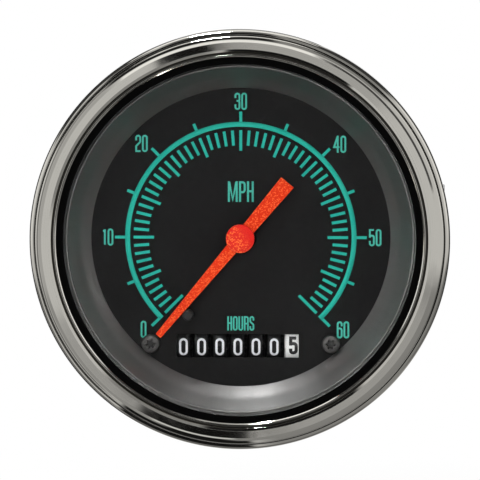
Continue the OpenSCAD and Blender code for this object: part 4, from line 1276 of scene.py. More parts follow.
@dataclass(frozen=True)
class Lettering:
    """How glyphs are drawn: their outer width and height, stroke and gap, in millimetres."""

    width: float
    height: float
    stroke: float
    gap: float = 0.2

    def path(self, stroke: Stroke, width: float, longest: float) -> list[Vector]:
        """Rounds a stroke's corners and cuts its runs short.

        Args:
            stroke: the stroke.
            width: the glyph's outer width.
            longest: the longest step between two points.

        Returns:
            The points of its middle line.
        """
        wide, high = width - self.stroke, self.height - self.stroke
        spots = [Vector((x * wide, y * high)) for x, y, _ in stroke.points]
        line: list[Vector] = []
        for i, (spot, (_, _, bend)) in enumerate(zip(spots, stroke.points)):
            if not bend or (not stroke.closed and i in (0, len(spots) - 1)):
                line.append(spot)
                continue
            come = spot - spots[i - 1]
            leave = spots[(i + 1) % len(spots)] - spot
            turn = come.angle_signed(leave)
            cut = min(bend * wide * math.tan(abs(turn) / 2), come.length * 0.5, leave.length * 0.5)
            radius = cut / math.tan(abs(turn) / 2)
            come, leave = come.normalized(), leave.normalized()
            side = Vector((come.y, -come.x)) * (1.0 if turn > 0 else -1.0)
            middle = spot - come * cut + side * radius
            for k in range(9):
                line.append(middle + Matrix.Rotation(-turn * k / 8, 2) @ (-side * radius))
        loop = [*line, line[0]] if stroke.closed else line
        cut_line = [loop[0]]
        for before, after in zip(loop, loop[1:]):
            if (after - before).length < 1e-5:
                continue
            steps = max(1, math.ceil((after - before).length / longest))
            cut_line += [before.lerp(after, k / steps) for k in range(1, steps + 1)]
        return cut_line[:-1] if stroke.closed else cut_line

    def ribbon(self, line: Sequence[Vector], closed: bool) -> list[list[Vector]]:
        """Widens a middle line to the stroke's width.

        Args:
            line: the middle line.
            closed: whether its ends meet.

        Returns:
            The cells of the widened stroke, with three or four corners each.
        """
        count, half = len(line), self.stroke / 2
        pairs = []
        for i, spot in enumerate(line):
            before = line[i - 1] if closed or i else None
            after = line[(i + 1) % count] if closed or i < count - 1 else None
            ways = [way.normalized() for way in (before and spot - before, after and after - spot) if way]
            across = sum((Vector((-w.y, w.x)) for w in ways), Vector((0.0, 0.0))).normalized()
            reach = half / max(0.4, across.dot(Vector((-ways[0].y, ways[0].x))))
            pairs.append((spot + across * reach, spot - across * reach))
        loop = [*pairs, pairs[0]] if closed else pairs
        cells = []
        for a, b in zip(loop, loop[1:]):
            way = (b[0] + b[1]) - (a[0] + a[1])
            right = [a[1], b[1]] if (b[1] - a[1]).dot(way) > 1e-6 else [(a[1] + b[1]) / 2]
            left = [b[0], a[0]] if (b[0] - a[0]).dot(way) > 1e-6 else [(a[0] + b[0]) / 2]
            if len(right) + len(left) > 2:
                cells.append(right + left)
        return cells

    def shape(self, text: str, middle: Point = (0.0, 0.0), widths: dict[str, float] | None = None,
              longest: float = 50.0) -> Flat:
        """Draws a line of glyphs as one flat shape with no overlaps.

        Args:
            text: the glyphs.
            middle: the middle of the line.
            widths: outer widths of glyphs that differ from the rest.
            longest: the longest step along a stroke.

        Returns:
            The shape's points and faces.
        """
        sizes = [(widths or {}).get(c, self.width) for c in text]
        left = middle[0] - (sum(sizes) + self.gap * (len(text) - 1)) / 2
        cells: list[list[Vector]] = []
        for glyph, width in zip(text, sizes):
            shift = Vector((left + self.stroke / 2, middle[1] - (self.height - self.stroke) / 2))
            for stroke in GLYPHS[glyph]:
                line = self.path(stroke, width, longest)
                cells += [[p + shift for p in cell] for cell in self.ribbon(line, stroke.closed)]
            left += width + self.gap
        corners = [p for cell in cells for p in cell]
        faces, start = [], 0
        for cell in cells:
            faces.append(list(range(start, start + len(cell))))
            start += len(cell)
        points, _, found, _, _, owners = delaunay_2d_cdt(corners, [], faces, 0, 1e-5)
        kept = [list(face) for face, owner in zip(found, owners) if owner]
        return [(p.x, p.y) for p in points], kept


NUMERALS = Lettering(1.30, 3.85, 0.40, 0.20)
NUMERAL_WIDTHS = {"1": 0.95, "4": 1.42}
SPEED_WORD = Lettering(1.50, 4.65, 0.45, 0.30)
HOURS_WORD = Lettering(1.08, 3.25, 0.36, 0.165)
THIN_DIGITS = Lettering(1.98, 3.92, 0.50)
BOLD_DIGITS = Lettering(1.98, 4.08, 0.74)


def raised(name: str, shape: Flat, lift: Callable[[Point, bool], Place]) -> Object:
    """Gives a flat shape its thickness of ink.

    Args:
        name: the object's name.
        shape: the flat shape's points and faces.
        lift: gives a point's place on the ink's top or, when false, its underside.

    Returns:
        The new object, closed all round.
    """
    points, faces = shape
    count = len(points)
    vertices = [lift(p, False) for p in points] + [lift(p, True) for p in points]
    seen: dict[tuple[int, int], int] = {}
    for face in faces:
        for a, b in zip(face, [*face[1:], face[0]]):
            seen[(a, b)] = seen.get((a, b), 0) + 1
    rim = [(a, b) for a, b in seen if (b, a) not in seen]
    solid = [[count + i for i in face] for face in faces]
    solid += [list(reversed(face)) for face in faces]
    solid += [[a, b, count + b, count + a] for a, b in rim]
    made = new_object(name, vertices, solid)
    with reshaped(made.data) as shell:
        bmesh.ops.delete(shell, geom=[v for v in shell.verts if not v.link_faces], context="VERTS")
        bmesh.ops.recalc_face_normals(shell, faces=shell.faces)
    return made


# Sub-assemblies


@dataclass
class Assembly:
    """What every sub-assembly shares: the frame's nodes and how a piece is settled in place.

    Before a copy's edges are rounded, points nearer than weld are merged, and faces that turn
    by less than flat, in degrees, become one.
    """

    nodes: dict[str, Object]
    weld: float = 0.002
    flat: float = 0.8

    def settle(self, made: Object, node: str, finish: Finish, body: str = GAUGE) -> None:
        """Dresses a finished piece and ties it to the frame.

        Args:
            made: the piece, in its place.
            node: not used.
            finish: the finish that it wears.
            body: the body that it rides on.
        """
        made.data.materials.clear()
        made.data.materials.append(finish.material())
        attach(made, body)
        LOG.info("%s: %d faces on %s", made.name, len(made.data.polygons), body)

    def replace(self, made: Object, node: str, finish: Finish, body: str = GAUGE) -> None:
        """Settles a finished piece as settle does, in place of its node."""
        self.settle(made, node, finish, body)
        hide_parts(node)

    def dress(self, finish: Finish, *names: str) -> None:
        """Dresses nodes of the frame that keep their own shape.

        Args:
            finish: the finish that they wear.
            names: the nodes.
        """
        for name in names:
            node = self.nodes[name]
            if not node.material_slots:
                node.data.materials.append(finish.material())
            for slot in node.material_slots:
                slot.material = finish.material()
            LOG.info("%s: dressed in %s", name, finish.name)

    def round_off(self, name: str, width: float, finish: Finish, body: str = GAUGE) -> None:
        """Replaces a node by a copy with rounded edges.

        Args:
            name: the node.
            width: the width of the rounding in millimetres.
            finish: the finish that the copy wears.
            body: the body that it rides on.
        """
        mesh = self.nodes[name].data.copy()
        mesh.name = name + "_rounded"
        made = bpy.data.objects.new(name + "_rounded", mesh)
        bpy.context.scene.collection.objects.link(made)
        with reshaped(mesh) as shape:
            bmesh.ops.remove_doubles(shape, verts=shape.verts, dist=self.weld * MM)
            bmesh.ops.dissolve_limit(
                shape, angle_limit=math.radians(self.flat), verts=shape.verts, edges=shape.edges)
        self.replace(softened(made, width), name, finish, body)


@dataclass
class Housing(Assembly):
    """The polished bezel, the glass with its seals, the reveal ring and the case."""

    rail: float = 40.0
    panel_in: float = 43.15
    bezel_r: float = 47.0
    tread_z: float = 4.8
    step_out: float = 45.66
    band_z: float = 6.2
    fall_r: float = 44.6
    band_in: float = 42.7
    bevel_in: float = 42.15
    bevel_z: float = 5.94
    groove_r: float = 41.85
    groove_z: float = 5.5
    bead_z: float = 6.0
    bead_out: float = 41.52
    inside_r: float = 46.2
    inside_z: float = 4.0
    lip_r: float = 41.0
    lip_back: float = 5.4
    cavity_r: float = 44.3
    sheet: float = 0.8
    glass_r: float = 44.0
    glass_back: float = 2.4
    glass_front: float = 4.8
    seal_r: float = 39.4
    bore_r: float = 41.85
    flange_front: float = 1.8
    reveal_edge_r: float = 38.85
    reveal_out: float = 41.45
    reveal_back: float = 1.25
    flange_back: float = 0.8
    flange_in: float = 40.5
    foot_out: float = 34.9
    dial_view_r: float = 33.6
    dial_front: float = -5.0
    waist: Place = (36.12, -2.25, 15.5)
    bezel_steps: int = 340
    bezel_facet: float = 6.0

    def bezel_section(self) -> Section:
        """Draws the bezel's section, a pressed sheet with a roll, a step, a band and a bead.

        Returns:
            Its corners.
        """
        return [
            (self.panel_in, 0.0), (self.bezel_r, 0.0, 0.8),
            (self.bezel_r, self.tread_z, 1.2), (self.step_out + 0.20, self.tread_z, 0.1),
            (self.step_out + 0.08, self.tread_z - 0.45), (self.step_out, self.tread_z - 0.45),
            (self.step_out, self.band_z - 0.20, 0.5), (self.fall_r, self.band_z - 0.036, 6.5),
            (self.band_in, self.band_z, 0.10),
            (self.bevel_in, self.bevel_z, 0.08), (self.groove_r, self.groove_z, 0.05),
            (self.groove_r - 0.25, self.groove_z, 0.04), (self.bead_out, self.bead_z, 0.12),
            (self.lip_r + 0.26, self.bead_z, 0.07), (self.lip_r, self.bead_z - 0.26, 0.09),
            (self.lip_r, self.lip_back),
            (self.cavity_r, self.lip_back), (self.cavity_r, self.inside_z),
            (self.inside_r, self.inside_z, 0.4), (self.inside_r, self.sheet),
            (self.panel_in, self.sheet),
        ]

    def reveal_section(self) -> Section:
        """Draws the reveal ring's section, a hollow cone with a bead round its front edge.

        Returns:
            Its corners.
        """
        return [
            (self.dial_view_r, self.dial_front, 0.02), self.waist,
            (self.reveal_edge_r - 0.35, 1.1),
            (self.reveal_edge_r - 0.24, self.flange_front, 0.26),
            (self.reveal_edge_r + 0.29, self.flange_front, 0.26),
            (self.reveal_edge_r + 0.29, self.reveal_back), (self.reveal_out, self.reveal_back),
            (self.reveal_out, self.flange_back), (self.flange_in, self.flange_back),
            (self.foot_out, self.dial_front, 0.02),
        ]

    def ring(self, name: str, recipe: Recipe, corners: Section, finish: Finish,
             segments: int = 256, step: float = 9.0) -> None:
        """Sweeps a section round the axis and settles it in place of its node.

        Args:
            name: the node that the ring stands for.
            recipe: the tree that sweeps it.
            corners: the section's corners.
            finish: the finish that it wears.
            segments: the steps round the ring.
            step: the most that one facet of a rounding turns, in degrees.
        """
        section = rounded_section(corners, step)
        count = len(section)
        base = new_object(name + "_turned", [(p.r - self.rail, -p.z, 0.0) for p in section], [],
                          [(k, (k + 1) % count) for k in range(count)])
        values = {"Segments": segments, "Rail Radius": self.rail * MM}
        made = recipe.grow(name + "_turned", values, finish, base)
        face_outwards(made)
        dress_section(made, section)
        self.replace(stood(made), name, finish)

    def build(self) -> None:
        """Builds the housing."""
        recipe = turned_ring()
        self.ring("bezel", recipe, self.bezel_section(), POLISHED, self.bezel_steps, self.bezel_facet)
        self.ring("reveal_ring", recipe, self.reveal_section(), REVEAL_PAINT)
        self.ring("front_seal", recipe, [
            (self.glass_r, self.glass_front, 0.05), (self.seal_r, self.glass_front, 0.05),
            (self.seal_r, self.lip_back, 0.22), (self.glass_r, self.lip_back, 0.05)], RUBBER)
        self.ring("rear_seal", recipe, [
            (self.glass_r, self.flange_front), (self.bore_r, self.flange_front),
            (self.bore_r, self.glass_back), (self.glass_r, self.glass_back)], RUBBER, 128)
        glass = lathe("lens_turned", [
            (0, self.glass_front), (self.glass_r, self.glass_front, 0.25),
            (self.glass_r, self.glass_back, 0.25), (0, self.glass_back)], 192)
        self.replace(stood(glass), "lens", LENS_GLASS)
        self.round_off("gauge_case", 0.12, DRAWN_CASE)


@dataclass
class Dial(Assembly):
    """The dial plate with its print, its two screws and the stop pin."""

    dial_front: float = -5.0
    ink: float = 0.08
    arc_r: float = 25.45
    arc_w: float = 1.1
    first_angle: float = 225.0
    sweep: float = 270.0
    top_speed: int = 60
    unit_r: float = 20.7
    five_r: float = 19.5
    end_r: float = 18.5
    top_r: float = 24.1
    tick_five_r: float = 27.6
    tick_ten_r: float = 28.3
    mark_w: float = 0.65
    screw_turn: float = 49.8
    screw_at: float = 31.43
    screw_r: float = 2.1
    screw_h: float = 1.5
    recess_r: float = 1.14
    shank_r: float = 1.2
    point_r: float = 0.9
    shank_end: float = -5.7
    screw_end: float = -6.0
    pin_r: float = 1.2
    pin_top: float = -0.7
    pin_foot_r: float = 0.7
    pin_end: float = -5.8

    def marks(self) -> None:
        """Prints the scale's marks, ticks and arc."""
        step = -math.radians(self.sweep / self.top_speed)
        made = dial_marks().grow("dial_marks", {
            "Marks": self.top_speed + 1, "First Angle": math.radians(self.first_angle), "Step Angle": step,
            "Unit Radius": self.unit_r * MM, "Five Radius": self.five_r * MM, "End Radius": self.end_r * MM,
            "Top Radius": self.top_r * MM, "Arc Radius": self.arc_r * MM, "Arc Width": self.arc_w * MM,
            "Tick Five Radius": self.tick_five_r * MM, "Tick Ten Radius": self.tick_ten_r * MM,
            "Mark Width": self.mark_w * MM,
            "Ink": self.ink * MM, "Level": self.dial_front * MM}, SCALE_INK)
        self.replace(made, "dial_scale", SCALE_INK)

    def words(self) -> None:
        """Prints the numerals and the two words."""
        def lift(point: Point, top: bool) -> Place:
            """Returns a point's place on the dial or on the ink."""
            return point[0], point[1], self.dial_front + (self.ink if top else 0.0)

        def print_flat(name: str, shape: Flat) -> None:
            """Prints one shape on the dial."""
            self.settle(stood(raised(name, shape, lift)), "dial_scale", NUMERAL_INK)

        places = {"0": (-21.9, -20.8), "10": (-29.9, 0.0), "20": (-22.3, 21.1), "30": (0.0, 30.6),
                  "40": (22.2, 21.0), "50": (30.2, 0.0), "60": (23.0, -20.8)}
        for text, middle in places.items():
            print_flat("numeral_" + text, NUMERALS.shape(text, middle, NUMERAL_WIDTHS))
        print_flat("word_speed", SPEED_WORD.shape("MPH", (0.0, 10.3), {"M": 2.2}))
        print_flat("word_hours", HOURS_WORD.shape("HOURS", (0.0, -19.4)))

    def screws(self) -> None:
        """Makes the two button-head screws with six-lobed recesses."""
        def lobed(angle: float) -> float:
            """Returns the recess's radius at an angle."""
            return self.recess_r * (0.80 + 0.20 * math.cos(math.radians(6 * angle)))

        def lobed_edge(angle: float) -> float:
            """Returns the radius of the recess's worn edge at an angle."""
            return lobed(angle) + 0.08

        head, deep = self.screw_h, self.screw_h - 1.15
        rings = [(0, deep), (lambda a: lobed(a) * 0.9, deep), (lobed, deep + 0.1), (lobed, head - 0.14),
                 (lobed_edge, head - 0.05), (1.45, head - 0.12), (1.75, head - 0.32), (1.95, head - 0.62),
                 (2.06, head - 0.92), (self.screw_r, head - 1.18), (self.screw_r, 0.06), (2.04, 0.0),
                 (self.shank_r, 0.0), (self.shank_r, self.shank_end), (self.point_r, self.screw_end),
                 (0, self.screw_end)]
        made = turned_solid("dial_screw", rings, 96)
        smooth(made, 32.0)
        both = placed_round().grow("dial_screws_made", {
            "Count": 2, "First Angle": math.radians(-self.screw_turn),
            "Step Angle": math.radians(2 * self.screw_turn - 180), "Distance": self.screw_at * MM,
            "Level": self.dial_front * MM, "Turned": 1.3}, SCREW_BLACK, made)
        smooth(both, 32.0)
        self.replace(both, "dial_screws", SCREW_BLACK)

    def pin(self) -> None:
        """Makes the stop pin with its rounded top."""
        low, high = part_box("stop_pin")
        at = ((low.x + high.x) / 2 / MM, (low.z + high.z) / 2 / MM)
        made = lathe("stop_pin_turned", [
            (0, self.pin_top), (self.pin_r, self.pin_top, 0.45),
            (self.pin_r, self.dial_front), (self.pin_foot_r, self.dial_front),
            (self.pin_foot_r, self.pin_end), (0, self.pin_end)], 48, at)
        self.replace(stood(made), "stop_pin", PIN_BLACK)

    def build(self) -> None:
        """Builds the dial."""
        self.round_off("dial_plate", 0.06, DIAL_PAINT)
        self.marks()
        self.words()
        self.screws()
        self.pin()


@dataclass
class PointerUnit(Assembly):
    """The orange pointer and its hub, on the movement's spindle and rotor."""

    rest: float = 230.0
    tip: float = 28.7
    tail: float = 16.5
    tip_w: float = 1.45
    tail_w: float = 3.7
    back: float = -1.8
    front: float = -1.2
    hub_r: float = 3.2
    cap_top: float = 0.2
    boss_r: float = 2.2
    boss_end: float = -3.2

    def blade(self) -> None:
        """Makes the tapered blade with bevelled edges."""
        turn = math.radians(self.rest)
        corners = [(-self.tail, -self.tail_w / 2), (self.tip, -self.tip_w / 2),
                   (self.tip, self.tip_w / 2), (-self.tail, self.tail_w / 2)]
        outline = [(x * math.cos(turn) - y * math.sin(turn), x * math.sin(turn) + y * math.cos(turn))
                   for x, y in corners]
        made = softened(prism("pointer_blade", outline, self.back, self.front), 0.16, 3)
        self.replace(stood(made), "pointer", POINTER_PAINT, "pointer")

    def hub(self) -> None:
        """Makes the hub with its domed cap."""
        made = lathe("hub_turned", [
            (0, self.cap_top), (2.3, self.cap_top - 0.03, 2.0),
            (self.hub_r, self.cap_top - 0.28, 0.35), (self.hub_r, self.front, 0.05),
            (self.boss_r, self.front), (self.boss_r, self.boss_end), (0, self.boss_end)],
            96, step=5.0)
        self.replace(stood(made), "pointer_hub", HUB_PAINT, "pointer")

    def build(self) -> None:
        """Builds the pointer."""
        self.blade()
        self.hub()
        self.dress(GROUND, "spindle")
        self.dress(MAGNET, "magnet_rotor")


DRUMS = ("drum_hundred_thousands", "drum_ten_thousands", "drum_thousands", "drum_hundreds",
         "drum_tens", "drum_ones", "drum_tenths")


@dataclass
class HourCounter(Assembly):
    """The seven number drums with their pinions, frame, shafts and motor drive."""

    drum_r: float = 7.6
    drum_x: float = -0.7
    drum_y: float = -24.5
    drum_z: float = -13.9
    pitch: float = 4.09
    ink: float = 0.02
    step: float = 36.0
    shown_tenths: int = 5
    tenths_turn: float = 0.0
    tenths_shift: float = 0.25
    others_turn: float = -2.75

    def digits(self, name: str, lettering: Lettering) -> bpy.types.Collection:
        """Makes the ten digits, each curved round a drum that faces the viewer.

        Args:
            name: the collection's name.
            lettering: how the digits are drawn.

        Returns:
            A collection of the ten, in order.
        """
        def lift(point: Point, top: bool) -> Place:
            """Curves a point of a digit round the drum.

            Args:
                point: the point of the flat digit.
                top: whether it is on the ink's top.

            Returns:
                Its place.
            """
            reach = self.drum_r + (self.ink if top else -self.ink)
            turn = point[1] / self.drum_r
            return point[0], reach * math.sin(turn), reach * math.cos(turn)

        shelf = bpy.data.collections.new(name)
        bpy.context.scene.collection.children.link(shelf)
        for digit in "0123456789":
            made = raised(name + "_" + digit, lettering.shape(digit, longest=0.3), lift)
            shelf.objects.link(made)
            bpy.context.scene.collection.objects.unlink(made)
        return shelf

    def print_drums(self) -> None:
        """Prints each drum's ten digits."""
        recipe = drum_digits()
        thin = self.digits("thin_digits", THIN_DIGITS)
        bold = self.digits("bold_digits", BOLD_DIGITS)
        for place, drum in enumerate(DRUMS):
            last = place == len(DRUMS) - 1
            shown, turn = (self.shown_tenths, self.tenths_turn) if last else (0, self.others_turn)
            ink = DIGIT_BLACK if last else DIGIT_WHITE
            middle = self.drum_x + (place - 3) * self.pitch + (self.tenths_shift if last else 0.0)
            made = recipe.grow(drum + "_digits", {
                "Digits": bold if last else thin, "Step Angle": math.radians(self.step),
                "First Angle": math.radians(turn - self.step * shown),
                "Axis": (middle * MM, self.drum_y * MM, self.drum_z * MM)}, ink)
            self.settle(made, drum, ink, drum)
        for shelf in (thin, bold):
            for made in list(shelf.objects):
                drop(made)
            bpy.data.collections.remove(shelf)

    def build(self) -> None:
        """Builds the counter."""
        for drum in DRUMS:
            self.round_off(drum, 0.08, DRUM_WHITE if drum == "drum_tenths" else DRUM_BLACK, drum)
        self.print_drums()
        for place in range(1, 7):
            name = f"transfer_pinion_{place}"
            self.round_off(name, 0.04, ACETAL, name)
        self.round_off("counter_frame", 0.12, ZINC_FITTINGS)
        self.dress(GROUND, "drum_shaft", "pinion_shaft")
        self.dress(PLATED_CAN, "counter_motor")
        self.dress(BRASS, "motor_pinion")
        self.dress(ACETAL, "idler_gear")


@dataclass
class Movement(Assembly):
    """The air-core movement that turns the pointer."""

    wire_r: float = 0.1
    turns: int = 13
    coil_w: float = 2.6
    coil_at: float = 3.4
    coil_t: float = 1.3
    bobbin_w: float = 16.5

    def windings(self, name: str, low: float, high: float, along_x: bool) -> None:
        """Winds wire over one pair of coils.

        Args:
            name: the coils' node.
            low: the level of the winding's inner face at the back.
            high: the same at the front.
            along_x: whether the loops stand along x rather than along y.
        """
        half = self.bobbin_w / 2 + self.coil_t - self.wire_r / 2
        top, bottom = high + self.coil_t - self.wire_r / 2, low - self.coil_t + self.wire_r / 2
        bend, spots = self.coil_t, []
        for sx, level, start in ((1, top, 0), (-1, top, 90), (-1, bottom, 180), (1, bottom, 270)):
            for k in range(5):
                turn = math.radians(start + 90 * k / 4)
                side = sx * (half - bend) + bend * math.cos(turn)
                up = level - math.copysign(bend, level - (top + bottom) / 2) + bend * math.sin(turn)
                spots.append((side, 0.0, up) if along_x else (0.0, side, up))
        count = len(spots)
        base = new_object(name + "_wire", spots, [], [(k, (k + 1) % count) for k in range(count)])
        step = self.coil_w / self.turns
        first = [-self.coil_at - self.coil_w / 2 + step / 2, self.coil_at - self.coil_w / 2 + step / 2]
        starts = [(0.0, v * MM, 0.0) if along_x else (v * MM, 0.0, 0.0) for v in first]
        pitch = (0.0, step * MM, 0.0) if along_x else (step * MM, 0.0, 0.0)
        made = wire_turns().grow(name + "_wire", {
            "Turns": self.turns, "Pitch": pitch, "Wire Radius": self.wire_r * MM,
            "Start": starts[0], "Other Start": starts[1]}, WINDING, base)
        smooth(made, 80.0)
        self.settle(made, name, WINDING)

    def build(self) -> None:
        """Builds the movement."""
        for name, along_x in (("inner_coils", True), ("outer_coils", False)):
            low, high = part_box(name)
            self.windings(name, -high.y / MM + self.coil_t, -low.y / MM - self.coil_t, along_x)
        self.dress(WINDING, "inner_coils", "outer_coils")
        self.dress(NYLON, "bobbin_front", "bobbin_rear")
        self.dress(BRASS, "spindle_bearings")
        self.dress(TINNED_CUP, "shield_cup")
        self.dress(FERRITE, "return_magnet")


@dataclass
class Chassis(Assembly):
    """The plate, posts and screws that hold everything, and the driver board."""

    def build(self) -> None:
        """Builds the chassis and the board."""
        self.dress(SHEET, "chassis_plate")
        self.dress(BRASS, "dial_standoffs", "support_pillars")
        self.dress(ZINC_FITTINGS, "chassis_screws")
        self.dress(LIGHT_WHITE, "light_housing")
        self.dress(BOARD, "circuit_board")
        self.round_off("board_chips", 0.15, CHIP_BLACK)
        self.round_off("board_capacitors", 0.3, SLEEVE)
        self.round_off("trimmer_body", 0.2, TRIMMER_BLUE)
        self.round_off("trimmer_rotor", 0.1, ROTOR_WHITE, "trimmer")


@dataclass
class RearFittings(Assembly):
    """What shows on the back of the case: screws, lamp holders and terminals."""

    case_back: float = -58.2
    pillar_at: float = 34.0
    head_r: float = 2.1
    head_h: float = 1.5
    socket_af: float = 2.0
    shank_r: float = 1.2
    point_r: float = 1.0
    shank_end: float = 4.3
    screw_end: float = 4.5

    def screws(self) -> None:
        """Makes the three socket-head screws in the back of the case."""
        top, socket = -self.head_h, partial(hexagon, self.socket_af)
        rings = [(0, top + 0.8), (socket, top + 0.75), (socket, top + 0.08),
                 (lambda a: socket(a) + 0.07, top), (self.head_r - 0.2, top),
                 (self.head_r - 0.06, top + 0.06),
                 (self.head_r, top + 0.2), (self.head_r, -0.05), (self.head_r - 0.05, 0.0),
                 (self.shank_r, 0.0), (self.shank_r, self.shank_end), (self.point_r, self.screw_end),
                 (0, self.screw_end)]
        made = turned_solid("case_screw", rings, 72)
        three = placed_round().grow("case_screws_made", {
            "Count": 3, "First Angle": math.radians(90), "Step Angle": math.radians(120), "Turned": 0.7,
            "Distance": self.pillar_at * MM, "Level": self.case_back * MM}, ZINC_FITTINGS, made)
        smooth(three, 32.0)
        self.replace(three, "case_screws", ZINC_FITTINGS)

    def build(self) -> None:
        """Builds the rear fittings."""
        self.screws()
        self.round_off("bulb_holders", 0.25, MOULDED_BLACK)
        self.dress(BULB_GLASS, "bulbs")
        self.round_off("terminal_block", 0.3, MOULDED_BLACK)
        self.round_off("blade_terminals", 0.12, TINNED_BRASS)


@dataclass
class ClampBracket(Assembly):
    """The strap, studs and nuts that fasten the gauge to its panel."""

    stud_x: float = 19.0
    stud_r: float = 2.0
    stud_end: float = -84.2
    floor: float = -57.2
    head_r: float = 4.0
    head_t: float = 1.3
    thread_pitch: float = 0.7
    thread_depth: float = 0.36
    nut_af: float = 7.0
    nut_h: float = 3.2
    flange_r: float = 4.7
    flange_t: float = 0.8
    case_back: float = -58.2
    bridge_back: float = -68.6

    def studs(self) -> None:
        """Makes the two threaded studs."""
        core = self.stud_r - self.thread_depth
        posts = [lathe(f"stud_core_{side}", [
            (0, self.floor + self.head_t), (self.head_r, self.floor + self.head_t, 0.2),
            (self.head_r, self.floor, 0.2), (self.stud_r, self.floor),
            (self.stud_r, self.floor - 1.6, 0.1), (core, self.floor - 2.2, 0.1),
            (core, self.stud_end + 0.7, 0.1), (1.25, self.stud_end), (0, self.stud_end),
        ], 48, (side * self.stud_x, 0.0)) for side in (-1, 1)]
        base = joined("studs_threaded", posts)
        length = self.floor - 1.8 - (self.stud_end + 0.8)
        made = screw_thread().grow("studs_threaded", {
            "Turns": length / self.thread_pitch, "Root Radius": core * MM,
            "Length": length * MM, "Ridge": (self.thread_depth - 0.01) * MM, "Side": self.stud_x * MM,
            "Level": (self.stud_end + 0.8) * MM}, ZINC_FITTINGS, base)
        smooth(made, 25.0)
        self.replace(made, "studs", ZINC_FITTINGS)

    def nuts(self, node: str, level: float, body: str) -> None:
        """Makes a pair of flanged hexagon nuts.

        Args:
            node: the nuts' node.
            level: the level of the flange's face.
            body: the body that they ride on.
        """
        end, sides = level - self.nut_h, partial(hexagon, self.nut_af)
        face, bore = self.nut_af / 2 - 0.1, self.stud_r + 0.03

        def chamfer(angle: float) -> float:
            """Returns the level of the chamfer's lower edge at an angle."""
            return end + (sides(angle) - face) * math.tan(math.radians(30))

        rings = [(bore, level), (bore, end + 0.25), (bore + 0.25, end), (face, end), (sides, chamfer),
                 (sides, level - self.flange_t - 0.35), (self.flange_r - 0.1, level - self.flange_t),
                 (self.flange_r, level - self.flange_t + 0.12), (self.flange_r, level - 0.06),
                 (self.flange_r - 0.06, level)]
        made = turned_solid(node + "_one", rings, 96)
        both = placed_round().grow(node + "_made", {
            "Count": 2, "First Angle": 0.0, "Step Angle": math.radians(180), "Distance": self.stud_x * MM,
            "Level": 0.0, "Turned": 0.4}, ZINC_FITTINGS, made)
        smooth(both, 24.0)
        self.replace(both, node, ZINC_FITTINGS, body)

    def build(self) -> None:
        """Builds the fastening."""
        self.studs()
        self.nuts("stud_nuts", self.case_back, GAUGE)
        self.nuts("clamp_nuts", self.bridge_back, "clamp")
        self.round_off("clamp_bracket", 0.25, ZINC_STRAP, "clamp")


# Studio


@dataclass(frozen=True)
class Panel:
    """A lit or dark area of the room as metal sees it, placed round the camera's mirrored line."""

    azimuth: float
    half: float
    near: float
    far: float
    tone: float
    edge: float = 4.0
    soft: float = 2.0


PANELS = (
    Panel(312.0, 36.0, 2.0, 125.0, 0.25, 10.0),
    Panel(270.0, 34.0, 72.0, 125.0, 0.15, 8.0),
    Panel(62.0, 17.0, 17.0, 60.0, 0.25, 8.0, 3.0),
    Panel(60.0, 18.0, 58.0, 125.0, 0.04, 8.0, 6.0),
    Panel(137.0, 18.0, 58.0, 125.0, 0.04, 8.0, 6.0),
    Panel(215.0, 20.0, 58.0, 125.0, 0.17, 8.0, 6.0),
    Panel(335.0, 15.0, 60.0, 125.0, 0.15, 8.0, 6.0),
    Panel(175.0, 55.0, 19.0, 32.0, 0.12, 12.0, 4.0),
    Panel(105.0, 26.0, 17.0, 52.0, 0.008, 6.0, 3.0),
    Panel(97.0, 16.0, 50.0, 84.0, 0.12, 6.0, 4.0),
    Panel(254.0, 19.0, 2.0, 72.0, 0.006, 3.0, 5.0),
    Panel(15.0, 50.0, 100.0, 190.0, 0.03, 10.0, 8.0),
    Panel(180.0, 62.0, 106.0, 190.0, 0.03, 10.0, 6.0),
    Panel(97.0, 24.0, 97.0, 125.0, 1.20, 8.0, 4.0),
    Panel(97.0, 27.0, 85.0, 97.0, 3.60, 6.0, 3.0),
    Panel(20.0, 19.0, 58.0, 92.0, 0.85, 10.0, 6.0),
    Panel(172.0, 13.0, 58.0, 100.0, 0.80, 10.0, 6.0),
    Panel(180.0, 50.0, 6.2, 17.0, 0.42, 8.0, 1.0),
    Panel(222.0, 25.0, 6.2, 17.0, 0.30, 8.0, 1.0),
    Panel(300.0, 32.0, 6.2, 17.0, 0.26, 8.0, 1.0),
    Panel(40.0, 25.0, 6.2, 14.0, 0.06, 4.0, 1.0),
    Panel(256.0, 12.0, 6.2, 12.0, 0.65, 3.0, 1.0),
    Panel(97.0, 29.0, 6.5, 15.2, 1.25, 2.0, 1.6),
    Panel(68.0, 25.0, 3.0, 5.6, 0.42, 5.0, 0.4),
    Panel(312.0, 30.0, 3.0, 5.6, 0.38, 12.0, 0.4),
    Panel(105.0, 10.0, 3.0, 5.6, 0.003, 2.0, 0.4),
    Panel(222.0, 18.0, 3.0, 5.6, 0.38, 8.0, 0.4),
    Panel(256.0, 16.0, 3.0, 5.6, 0.004, 4.0, 0.4),
)


@dataclass(frozen=True)
class Lamp:
    """A soft lamp that faces the gauge: its place and size in metres and its power in watts."""

    name: str
    at: Place
    size: Point
    power: float
    mirrored: bool = False

    def hang(self) -> None:
        """Hangs the lamp."""
        lamp = bpy.data.lights.new(self.name, "AREA")
        lamp.shape, lamp.size, lamp.size_y = "RECTANGLE", *self.size
        lamp.energy, lamp.color = self.power, (1.0, 0.995, 0.985)
        made = bpy.data.objects.new(self.name, lamp)
        made.location = self.at
        made.rotation_euler = (-Vector(self.at)).to_track_quat("-Z", "Y").to_euler()
        made.visible_glossy = self.mirrored
        bpy.context.scene.collection.objects.link(made)


